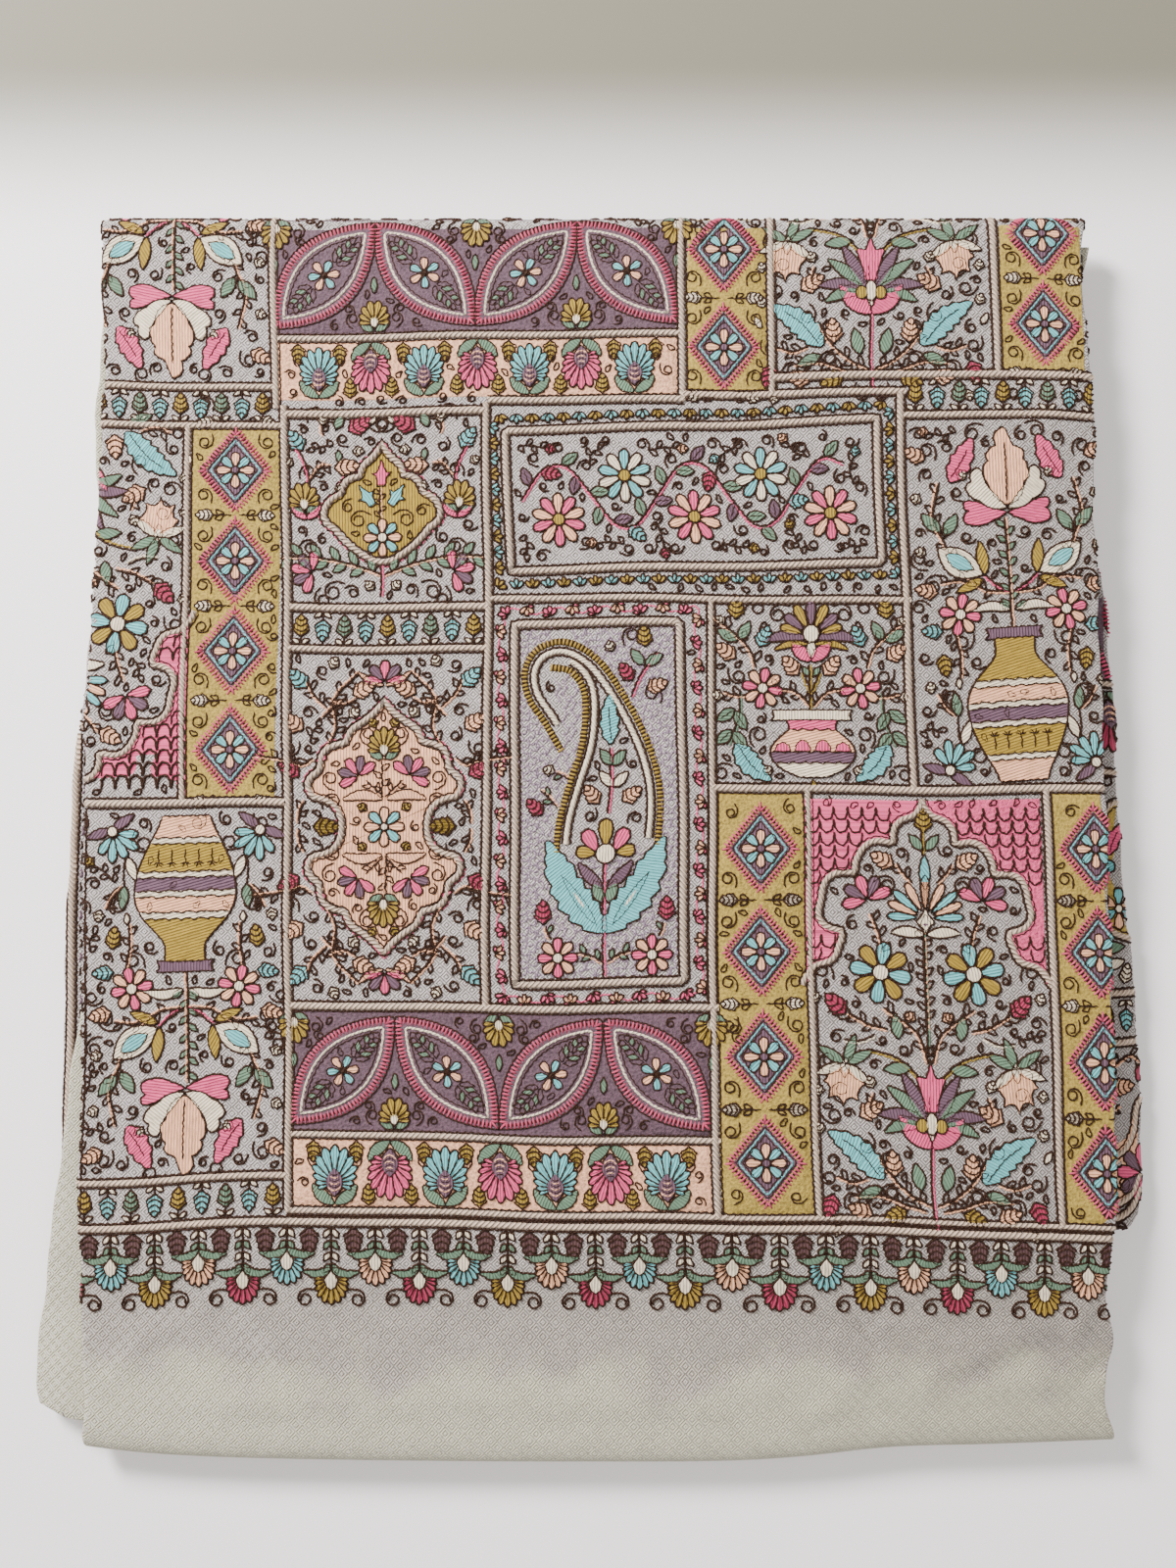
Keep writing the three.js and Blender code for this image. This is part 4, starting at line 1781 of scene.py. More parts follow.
    def curl(self, size: float, sense: int = 1, centred: bool = False) -> None:
        """Draw a tendril ahead of the needle, or about it, that curls left, or right if sense is -1.

        Args:
            size: How far it reaches.
            sense: 1 to curl left, -1 to curl right.
            centred: Whether it lies about the needle.
        """
        t = np.linspace(0, 1, 34)
        turned = sense * 8.5 * t ** 1.6
        path = abreast(np.cumsum(-np.sin(turned)), np.cumsum(np.cos(turned))) * 4.3 * size / len(t)
        self.line(path - path.mean(axis=0) if centred else path, width=0.84, wobble=0.06, step=0.52)

    def bud(self, thread: Thread, width: float) -> None:
        """Draw a bud of nested bowls with its tip ahead and its base on the needle.

        Args:
            thread: Its thread.
            width: How wide it is.
        """
        tiers = 3 if width > 4.2 else 2
        rows = []
        for tier in range(tiers):
            half = width / 2 * (1 - 0.55 * tier / tiers)
            foot = 0.3 * width * tier + 0.25 * width
            rows += [(half, foot + 0.16 * width), (half * 0.72, foot + 0.2 * width)]
        tall = 0.3 * width * tiers + 0.42 * width
        right = np.array([(0.15 * width, 0.12 * width), *rows, (0, tall)])
        ring = np.vstack([(0, 0), right, (right * (-1, 1))[-2::-1]])
        self.fan(ring, thread)
        self.line(ring, closed=True, width=0.95, height=0.62)
        x = np.linspace(-1, 1, 7)
        for tier in range(1, tiers + 1):
            half = width / 2 * (0.95 - 0.55 * tier / (tiers + 0.5))
            foot = 0.3 * width * tier
            bowl = abreast(half * x, foot + 0.24 * width * x * x)
            self.line(bowl, width=1.7 if thread is UMBER else 1.25, height=0.85, wobble=0.05)

    def shell(self, thread: Thread, petals: int, spread: float, short: float, long: float) -> None:
        """Draw petals side by side about the needle, the longest ahead, with brown between them.

        Args:
            thread: Their thread.
            petals: How many there are.
            spread: How far round they go, in degrees.
            short: How far the outermost ones reach.
            long: How far the one ahead reaches.
        """
        share = np.linspace(-1, 1, 6 * petals + 1)
        angle = math.radians(spread / 2) * share
        tip = np.abs(np.sin(math.pi * petals * (share + 1) / 2))
        reach = mix(short, long, np.cos(math.pi / 2 * share) ** 2.4) * (0.8 + 0.2 * tip)
        rim = abreast(reach * np.sin(angle), reach * np.cos(angle))
        for number in range(petals):
            wedge = np.vstack([(0, 0), rim[6 * number:6 * number + 7]])
            self.fan(wedge, thread, 0.5, grain=-math.degrees(angle[6 * number + 3]))
        for corner in rim[::6]:
            self.line(np.stack([0.3 * corner, corner]), width=1.45, height=0.9, wobble=0.04)
        self.line(rim, width=1.3, height=0.74, wobble=0.03, step=0.55)

    def shape(self, rows: Sequence[tuple[float, float, float]], thread: Thread, grain: float = 0,
              rings: int = 1) -> None:
        """Fill a shape whose corners are joined by arcs, with a line round it."""
        ring = lobes([*rows, rows[0]], 1)[:-1]
        self.fan(ring, thread, grain=grain, rings=rings)
        self.line(ring, closed=True)

    def acanthus(self, length: float, width: float, thread: Thread, bend: float = 0, teeth: int = 5,
                 rib: bool = True) -> None:
        """Draw a long leaf with toothed edges ahead of the needle.

        Args:
            length: How long it is.
            width: How wide it is.
            thread: Its thread.
            bend: How far its tip leans right.
            teeth: How many teeth each edge has.
            rib: Whether it has a middle line.
        """
        spine = curve([(0, 0), (-0.25 * bend, 0.5 * length), (bend, length)], step=length / (4 * teeth))
        t = np.linspace(0, 1, len(spine))
        tooth = 0.68 + 0.32 * ((t * teeth) % 1)
        out = width / 2 * np.sin(math.pi * np.clip(0.04 + 0.96 * t, 0, 1) ** 0.8) ** 0.75 * tooth + 0.05
        self.blade(spine, out, np.roll(out, 1), thread)
        if rib:
            self.line(spine[1:int(0.8 * len(spine))], width=0.8, height=0.72)

    def crescent(self, length: float, width: float, thread: Thread, bend: float) -> None:
        """Draw a curved petal ahead of the needle that bends to its left."""
        spine = curve([(0, 0), (-0.28 * bend, 0.55 * length), (-bend, length)], step=0.9)
        out = width / 2 * np.sin(math.pi * np.linspace(0.03, 0.97, len(spine)) ** 0.9) ** 0.8
        self.blade(spine, out, out, thread)

    def vase(self, rows: Sequence[tuple[float, float]], bands: Sequence[tuple[float, float, Thread]]) -> None:
        """Draw a vase that stands on the needle.

        Args:
            rows: The height and half width of its side at each place.
            bands: The foot and top of each band of colour, and its thread.
        """
        side = SmoothTable(rows, 1)
        for foot, top, thread in bands:
            y = np.linspace(foot, top, max(3, round((top - foot) / 1.4)))
            spine = abreast(0 * y, y)
            half = side.at(y)
            self.blade(spine, half, half, thread, outline=False)
        for foot, _, _ in bands[1:]:
            half = float(side.at(foot)) - 0.3
            x = np.linspace(-half, half, 14)
            wave = 0.35 * np.sin(x * 1.7)
            self.line(abreast(x, foot + wave), height=0.8)
        y = np.linspace(rows[0][0], rows[-1][0], 40)
        for sign in (1, -1):
            self.line(abreast(sign * side.at(y), y), height=0.66)
        for place, _ in (rows[0], rows[-1]):
            half = float(side.at(place))
            self.line([(-half, place), (0, place), (half, place)], height=0.66)

    def palmette(self, thread: Thread, size: float) -> None:
        """Draw a palmette ahead of the needle: pointed petals round a heart, over two leaves.

        Args:
            thread: The petals' thread.
            size: Its size against the usual.
        """
        art = self.at(0, 0, size=size)
        art.at(0, 7.2).shell(thread, 13, 236, 5.8, 12.4)
        heart = lobes([(0, 2.6, -0.3), (0, 12.4, -0.3), (0, 2.6, 0)], 0.9)[:-1]
        art.fan(heart, MAUVE, 0.95)
        art.line(heart, closed=True)
        for tier in range(3):
            x = np.linspace(-2.1 + 0.4 * tier, 2.1 - 0.4 * tier, 7)
            art.line(abreast(x, 4.8 + 2 * tier + 0.3 * x * x), PEACH, 1, 1.3, wobble=0)
            art.line(abreast(x, 5.8 + 2 * tier + 0.3 * x * x), width=0.7, height=1.25, wobble=0)
        for side in art.sides():
            side.at(0.3, 0.4, -64).crescent(9, 4, GREEN, 2.6)

    def half_daisy(self, thread: Thread, petals: int = 8) -> None:
        """Draw a half daisy ahead of the needle, with a cream drop and two leaves at its foot.

        Args:
            thread: The petals' thread.
            petals: How many there are.
        """
        self.at(0, 2.8).shell(thread, petals, 196, 4.8, 7.6)
        self.at(0, 1.4).petal(4.2, 3.4, CREAM, point=0.4)
        for side in self.sides():
            side.at(0.2, 0.3, -58).leaf(5.6, 2.6, GREEN)

    def pendant(self, thread: Thread, drop: float, tendrils: bool) -> None:
        """Draw a hanging flower ahead of the needle, on a leafy stem.

        Args:
            thread: The petals' thread.
            drop: How long the stem is.
            tendrils: Whether it has tendrils.
        """
        self.line([(0, 0), (0, drop / 2), (0, drop)], width=0.8)
        rows = max(1, round(drop / 3.6))
        for row in range(rows):
            for side in self.sides():
                side.at(0.3, 0.6 + row * 3.5, -36).leaf(3.3, 1.7, CREAM if row % 2 == 0 else GREEN)
        self.at(0, drop + 2.7).shell(thread, 11, 186, 5, 8.3)
        heart = np.array([(0, 0.4), (-2.1, 3.2), (-1.4, 5.6), (0, 6.6), (1.4, 5.6), (2.1, 3.2)]) + (0, drop)
        self.fan(heart, CREAM, 0.9)
        self.line(heart, closed=True, width=0.6, height=0.8)
        for side in self.sides():
            side.at(0.2, drop - 0.4, -66).acanthus(8, 3.2, GREEN, bend=2, teeth=4, rib=False)
            if tendrils:
                side.at(4.4, drop + 6.8, -106).curl(4.2)


def face_drift(u: Array, v: Array) -> tuple[Array, Array]:
    """Give how far the embroidery on the face wanders from a straight layout.

    Args:
        u: The places across.
        v: The places along.

    Returns:
        How far each moves across, and along.
    """
    lean = 0.03 * np.clip(12 - v, 0, 130) * smooth(u, 10, 75)
    du = lean + 0.45 * np.sin(v / 29 + u / 61) + 0.2 * np.sin(v / 11 + 1.3)
    hem = 1 - smooth(v, -100, -40)
    dv = 0.4 * np.sin(u / 23 + v / 47) + 0.2 * np.sin(u / 9.5)
    dv = dv + hem * (
        1.6 * np.exp(-((u + 95) / 45) ** 2) - 3.6 * smooth(u, 20, 160) - 1.4 * smooth(-u, 115, 158))
    back = smooth(v, 90, 150)
    dv = dv + back * 1.6 * np.sin((u - 10) / 62) - smooth(v, 100, 150) * smooth(u, 20, 50) * 0.8
    return du, dv


def under_drift(u: Array, v: Array) -> tuple[Array, Array]:
    """Give how far the embroidery beneath wanders from a straight layout."""
    return 0.3 * np.sin(v / 13), 0.3 * np.sin(u / 7)


def panel_cords(needle: Needle) -> None:
    """Draw the cords that divide the face into panels."""
    for x0, y0, x1, y1, width in CORDS:
        needle.cord(np.array([(x0, y0), ((x0 + x1) / 2, (y0 + y1) / 2), (x1, y1)]), width)


# Each cord's start and end, from the face's middle line, and its width.
CORDS = (
    (-166, -119.2, 166, -119.2, 2.2), (-93, -115.9, 38, -115.9, 1.9), (36, -116.1, 166, -116.1, 1.6),
    (-166, -105.6, -92, -105.6, 2), (-92, -93.4, 37, -93.4, 1.9), (-92, -54, 37, -54, 2.3),
    (-166, 7.7, -94, 7.7, 2.4), (35, 12.2, 166, 12.2, 2.4), (-166, 125.5, -96, 125.5, 2),
    (-166, 138, -99, 138, 2), (-94, 55.3, -33, 55.3, 2), (-94, 68.1, -33, 68.1, 2.2),
    (-97, 129.4, -33, 129.4, 2.4), (-33, 70.4, 97, 70.4, 2), (-33, 132.6, 28, 132.6, 2.2),
    (27, 134.2, 96, 134.2, 2.2), (95, 127, 166, 127, 2), (54, 139.4, 166, 139.4, 2.4),
    (-98, 153.4, 28, 153.4, 2),
    (-92.4, -116, -93.2, 7, 2.2), (-93.2, 7, -96.2, 132, 2.2), (-98.6, 131, -99.8, 206, 2.2),
    (-32.8, -54, -33.4, 132, 2.2), (35.2, -54, 35.2, 70, 1.9), (35.6, -116, 35.4, 12, 2.2),
    (64, -116, 64, 12, 2), (137, -116, 137, 12, 2.2), (96.6, 12, 95.6, 70, 2.2),
    (95.6, 70, 94.2, 134, 2.2), (27.4, 132, 26.4, 206, 2.2), (54.8, 134, 54.2, 206, 2.2),
    (124.2, 139, 123.2, 206, 2.2), (-125.4, 8, -125.8, 126, 2),
)


DIAMOND_END = 15.6
BUD_GAP = 6.7
GROUND_PITCH = 4


def diamonds(needle: Needle, u: float, places: Sequence[float]) -> None:
    """Draw a column of combed diamonds on ochre, with buds and scrolls between them.

    Args:
        needle: Its place and direction.
        u: The middle of the column.
        places: Where each diamond's middle is.
    """
    for v in places:
        art = needle.at(u, v)
        corners = np.array([(0, 13), (-10.5, 0), (0, -13), (10.5, 0)])
        comb = even(corners, 1, closed=True)
        art.fan(comb * 0.92, MAUVE, 0.3, rings=2, kind=Kind.GROUND)
        art.comb(comb, 3.3, COMB, closed=True)
        inner = even(corners * 0.74, 1, closed=True)
        art.line(inner, AQUA, 1.5, 0.7, closed=True, wobble=0.05)
        art.line(inner * 0.87, closed=True, width=0.8)
        art.line(inner * 1.12, closed=True, width=0.8)
        art.flower(8, 6, (PEACH, AQUA), heart=MAUVE, core=0.22)
    between = [(low + high) / 2 for low, high in zip(places, places[1:])]
    for v in (places[0] - DIAMOND_END, *between, places[-1] + DIAMOND_END):
        for side in needle.at(u, v).sides():
            side.at(1, 0, -90).line([(0, 0), (0, 4), (0, 7.2)])
            side.at(3.6, 0, -58).leaf(3, 1.5, None)
            side.at(3.6, 0, -122).leaf(3, 1.5, None)
            side.at(6.6, 0, -90).bud(CREAM, 4.4)
            side.at(7.6, -3.2, 160).curl(3.8)
            side.at(7.6, 3.2, 20).curl(3.8, -1)


def bud_strip(needle: Needle, x0: float, x1: float, y0: float, y1: float) -> None:
    """Draw a strip of tree-like buds that point up and down by turns.

    Args:
        needle: Its place and direction.
        x0: Its left edge.
        x1: Its right edge.
        y0: Its front edge.
        y1: Its back edge.
    """
    threads = (OCHRE, AQUA, GREEN, AQUA)
    count = round((x1 - x0) / BUD_GAP)
    tall = y1 - y0
    for number in range(count):
        x = x0 + (number + 0.5) * (x1 - x0) / count
        up = number % 2 == 0
        art = needle.at(x, y0 if up else y1, 0 if up else 180)
        art.line([(0, 0), (0, tall * 0.2), (0, tall * 0.4)], width=0.7)
        for side in art.sides():
            side.at(0.2, 0.4, -58).leaf(3, 1.4, CREAM)
        art.at(0, tall * 0.24).bud(threads[number % 4], 5.4)


def palmette_band(needle: Needle, x0: float, x1: float, y0: float, y1: float, up: Sequence[float],
                  down: Sequence[float]) -> None:
    """Draw a peach band of palmettes that point up and down, with ochre buds between them.

    Args:
        needle: Its place and direction.
        x0: Its left edge.
        x1: Its right edge.
        y0: Its front edge.
        y1: Its back edge.
        up: Where the palmettes that point up are.
        down: Where those that point down are.
    """
    ground(needle, x0, x1, y0, y1, PEACH_GROUND)
    size = (y1 - y0) / 22.6
    for x in up:
        needle.at(x, y0 + 0.8).palmette(AQUA, size)
        for side in needle.at(x, y0).sides():
            side.at(6.4, 13 * size, -55).curl(3 * size)
    for x in down:
        needle.at(x, y1 - 0.4, 180).palmette(PINK, size)
    for places, y, turn in ((up, y1 - 0.8, 180), (down, y0 + 0.8, 0)):
        for x in places:
            for side in (-5.6, 5.6):
                if x0 + 3 < x + side < x1 - 3:
                    needle.at(x + side * 1.15, y, turn).bud(OCHRE, 5)


def ground(needle: Needle, x0: float, x1: float, y0: float, y1: float, thread: Thread) -> None:
    """Fill a rectangle of ground with low stitches.

    Args:
        needle: Its place and direction.
        x0: Its left edge.
        x1: Its right edge.
        y0: Its front edge.
        y1: Its back edge.
        thread: Its thread.
    """
    columns, rows = (
        np.array([low, *np.linspace(low + 0.4, high - 0.4, round((high - low) / GROUND_PITCH)), high])
        for low, high in ((x0, x1), (y0, y1)))
    x, y = np.meshgrid(columns, rows, indexing="ij")
    points = needle.on_cloth(abreast(x, y).reshape(-1, 2))
    heights = np.full(x.shape, 0.17)
    heights[[0, -1]] = SEAT
    heights[:, [0, -1]] = SEAT
    i, j = np.meshgrid(np.arange(len(columns) - 1), np.arange(len(rows) - 1), indexing="ij")
    a = (i * len(rows) + j).ravel()
    b = a + len(rows)
    faces = np.concatenate([abreast(a, b, b + 1), abreast(a, b + 1, a + 1)])
    needle.add(Kind.GROUND, points, heights.ravel(), faces, points[:, ::-1], thread)


def vesica(length: float, width: float) -> Array:
    """Give the outline of a pointed oval along Y.

    Args:
        length: How long it is.
        width: How wide it is.

    Returns:
        Its outline.
    """
    y = np.linspace(-1, 1, 24)
    out = width / 2 * (1 - y * y)
    right = abreast(out, y * length / 2)
    return even(np.vstack([right, (right * (-1, 1))[-2:0:-1]]), 1, closed=True)


def vesica_band(needle: Needle, x0: float, x1: float, y0: float, y1: float, places: Sequence[float]) -> None:
    """Draw a mauve band of tilted ovals with combed edges, and half daisies between them.

    Args:
        needle: Its place and direction.
        x0: Its left edge.
        x1: Its right edge.
        y0: Its front edge.
        y1: Its back edge.
        places: Where each oval is.
    """
    ground(needle, x0, x1, y0, y1, MAUVE_GROUND)
    middle, tall = (y0 + y1) / 2, y1 - y0
    size = tall / 38.3
    for number, x in enumerate(places):
        art = needle.at(x, middle, -43 if number % 2 == 0 else 43, 1.06 * size)
        art.fan(vesica(41, 19), MAUVE_GROUND, 0.3, rings=4, kind=Kind.GROUND)
        art.comb(vesica(41.5, 19.6), 3.4, COMB, closed=True)
        art.line(vesica(44.6, 22.6), closed=True, width=0.6)
        art.line(vesica(35.5, 15.4), CREAM, 1.4, 0.8, closed=True, wobble=0.08)
        art.line(vesica(32, 12.9), closed=True, width=0.8)
        art.flower(6, 4.9, (AQUA, PEACH), heart=BROWN, core=0.2, first=20)
        for end in (art, art.at(0, 0, 180)):
            for row in range(5):
                for side in end.sides():
                    side.at(0.3, 5 + 1.9 * row, -42).leaf(4.4 - 0.5 * row, 1.7, GREEN if row % 2 else None)
    edges = [x0, *[(a + b) / 2 for a, b in zip(places, places[1:])], x1]
    for number, x in enumerate(edges):
        from_top = number % 2 == 0
        art = needle.at(x, y1 - 0.6 if from_top else y0 + 0.6, 180 if from_top else 0, size)
        art.half_daisy(OCHRE)
        art.at(0, 12.5).leaf(5.6, 2, GREEN)
        for side in art.sides():
            side.at(6.4, 1.2, -62).curl(3.4)
            side.at(6.6, 5.4, 20).curl(2.6, -1)


def face_ground(needle: Needle) -> None:
    """Draw the repeating bands of the face: diamonds, ovals, palmettes and bud strips.

    Args:
        needle: One in the cloth's own frame.
    """
    for x0, x1, y0, y1 in ((36.6, 62.8, -115.2, 11), (138.4, 164, -115.2, 11), (-124.2, -97, 9, 124.4),
                           (28.6, 53.4, 135.6, 204), (125.4, 151, 140.8, 204)):
        ground(needle, x0, x1, y0, y1, OCHRE_GROUND)
    for x, places in ((49.6, (-6.2, -37.4, -68.6, -99.8)), (151.2, (-6.2, -37.4, -68.6, -99.8)),
                      (-110.8, (23.6, 54, 82, 110.8)), (40, (149.2, 180.2)), (138.8, (155.5, 184.6))):
        diamonds(needle, x, places)
    vesica_band(needle, -91.2, 34.6, -92.4, -55.2, (-76.4, -44.8, -13.2, 18.6))
    vesica_band(needle, -98.6, 25.4, 154.4, 192, (-83.4, -52.2, -21, 10.2))
    palmette_band(needle, -91.2, 34.6, -115, -94.4, (-78.4, -45.2, -12, 21.4), (-61.8, -28.6, 4.7))
    palmette_band(needle, -98.6, 26.2, 133.6, 152.4, (-85.2, -52.6, -19.9, 12.5), (-69.1, -36, -3.9))
    bud_strip(needle, -157, -93.4, -117.4, -106.8)
    bud_strip(needle, -157, -99.6, 126.6, 137)
    bud_strip(needle, 95.4, 156, 128, 138.2)
    bud_strip(needle, -93.6, -34.4, 56.4, 67)


def hanging_border(needle: Needle) -> None:
    """Draw the flowers and buds that hang under the hem cords.

    Args:
        needle: One in the cloth's own frame.
    """
    threads = (ROSE, AQUA, OCHRE, PEACH)
    for number in range(25):
        u = -158.5 + 13.17 * number
        long = number % 2 == 0
        needle.at(u, -120.6, 180).pendant(threads[number % 4], 12.6 if long else 6.8, long)
        needle.at(u + 6.6, -120.8, 180).bud(UMBER, 6.2)


# Half of the cusped arch, from its tip down.
ARCH = (
    (0, 0, -0.12), (3.8, -5.4, 0.14), (8.9, -8.8, 0.08), (9.2, -13.2, 0), (10, -13.6, 0.24),
    (20.2, -18, 0.1), (20.8, -22.6, 0), (21.6, -23, 0.3), (31.2, -31, 0.34), (25.2, -40.6, -0.1),
    (26.4, -45.2, -0.22), (32.4, -50.6, 0.1), (37.4, -57, 0),
)


def arch_panel(needle: Needle, low: float = -131) -> None:
    """Draw the panel with a cusped arch, pink scales over it and a flowering tree under it.

    Args:
        needle: The needle at the arch's tip.
        low: Where the panel ends below.
    """
    half = lobes(ARCH)
    for art in needle.sides():
        art.cord(half, 1.9)
    y = np.linspace(-0.4, -56, 48)
    wall = abreast(0 * y + 35.8, y)
    reach = 35 - np.interp(y, half[::-1, 1], half[::-1, 0])
    for art in needle.sides():
        art.blade(wall, 0 * y + 0.2, np.maximum(reach, 0.3), PINK_GROUND, 0.3, outline=False)
    hull = np.vstack([half, [(60, -58), (60, -150), (0, -150)]])
    t = np.linspace(-1, 1, 9)
    for row in range(14):
        for column in range(9):
            x, y = 33.6 - 4.3 * column, -4.6 - 3.9 * row
            arc = abreast(x + 2 * t, y + 0.4 - 2.6 * np.sqrt(1.02 - t * t))
            arc = np.vstack([(x - 2, y + 1.9), arc, (x + 2, y + 1.9)])
            if x > 2 and not inside(hull, arc - (0.9, 0)).any():
                for art in needle.sides():
                    art.line(arc, width=1.1, height=0.8)
    tree(needle, ARCH_TREE, low)


def tree(needle: Needle, rows: Sequence[tuple], low: float = -1e9) -> None:
    """Draw a table of motifs, each on both sides of the middle unless it stands on it.

    Args:
        needle: The needle at the table's origin.
        rows: For each motif, its drawing function, x, y, turn and what else the function takes.
        low: Motifs below this place are left out.
    """
    for draw, x, y, turn, *rest in rows:
        if y < low:
            continue
        for art in (needle,) if x == 0 and turn in (0, 180) else needle.sides():
            draw(art.at(x, y, turn), *rest)


def draw_each(needle: Needle, rows: Sequence[tuple]) -> None:
    """Draw a table of motifs, each once: its function, x, y, turn and what else the function takes."""
    for draw, x, y, turn, *rest in rows:
        draw(needle.at(x, y, turn), *rest)


def stalk(needle: Needle, points: Sequence[Point], core: Thread | None = PEACH) -> None:
    """Draw a plain stem through points from the needle."""
    needle.stem(points, core)


def spray(needle: Needle, points: Sequence[Point], leaf: float = 3.2, gap: float = 2.8,
          thread: Thread | None = None) -> None:
    """Draw a leafy stem from the needle through points."""
    needle.sprig([(0, 0), *points], leaf, gap, thread)


def lotus_fan(needle: Needle) -> None:
    """Draw the blossom of the arch: aqua and peach petals that spread from a cream heart.

    Args:
        needle: Its place and direction.
    """
    for turn, thread, long in ((0, PEACH, 13), (28, PEACH, 12), (50, AQUA, 12.5),
                               (68, PEACH, 12), (88, AQUA, 11.5)):
        for side in needle.sides():
            side.at(0, 2.4, -turn).petal(long - 2.5, 2.9, thread, 2.6)
    needle.at(0, 11).leaf(11, 3.2, AQUA)
    for side in needle.sides():
        side.at(0.6, -2.6, -76).crescent(9.6, 3.4, CREAM, -2)
    needle.shape([(0, -3.4, -0.1), (-3, 1.2, -0.1), (0, 6.2, -0.1), (3, 1.2, -0.1)], CREAM)
    needle.shape([(0, -3, -0.15), (-1.8, 0.4, -0.05), (0, 4.2, -0.05), (1.8, 0.4, -0.15)], MAUVE)


def lily(needle: Needle) -> None:
    """Draw a peach lily ahead of the needle, under cream and green leaves.

    Args:
        needle: Its place and direction.
    """
    needle.shape([(0, 0, 0), (-4.6, 2, -0.15), (-6.2, 6.4, -0.2), (-4, 7.6, -0.1), (-4.4, 11.6, -0.2),
                  (-1, 10.4, -0.1), (0.6, 13.8, -0.2), (2.2, 10.2, -0.1), (5.2, 11, -0.2), (5, 7.4, -0.1),
                  (6.8, 5.4, -0.2), (4.4, 1.6, 0)], PEACH)
    for turn, thread in ((-58, CREAM), (66, CREAM), (118, GREEN), (-122, GREEN),
                         (-165, GREEN)):
        needle.at(0, 0.6, turn).leaf(9.6, 3, thread)
    needle.at(0, -1.4).leaf(6.2, 2.8, CREAM)


def half_flower(needle: Needle, radius: float = 7) -> None:
    """Draw half a flower of pink and mauve petals ahead of the needle."""
    for number, turn in enumerate((-84, -42, 0, 42, 84)):
        thread = PINK if number % 2 == 0 else MAUVE
        needle.at(0, 0, turn).petal(radius, radius * 0.56, thread, 0.4)


def great_lotus(needle: Needle) -> None:
    """Draw the large lotus: a pink tulip over mauve and green leaves and two pink wings.

    Args:
        needle: Its place and direction.
    """
    for turn, thread, long, bend in ((22, MAUVE, 15.5, -1.4), (42, GREEN, 15, -2.2),
                                     (70, MAUVE, 14.5, -3.6), (88, GREEN, 12.5, -4)):
        for side in needle.sides():
            side.at(1.5, 2, -turn).crescent(long, 4, thread, bend)
    needle.shape([(-1.9, 4.6, -0.04), (-4.6, 15, 0.04), (-1.6, 14.4, -0.06), (0, 20.6, -0.06),
                  (1.6, 14.4, 0.04), (4.6, 15, -0.04), (1.9, 4.6, 0)], PINK)
    for side in needle.sides():
        side.at(0.2, -5.4, -52).crescent(13, 6, PINK, 1.2)
        side.at(2.9, 1).disc(1.9, OCHRE, 1.2)
    needle.at(0, 1.6).disc(1.8, CREAM, 1.9)
    needle.at(0, -3.8).petal(5.6, 3.4, CREAM)


# The motifs and colours that the tables below name.
acanthus, bud, crescent, curl, disc = Needle.acanthus, Needle.bud, Needle.crescent, Needle.curl, Needle.disc
flower, half_daisy, leaf, petal = Needle.flower, Needle.half_daisy, Needle.leaf, Needle.petal
DAISY = (AQUA, OCHRE)
COSMOS = (PINK, PEACH)

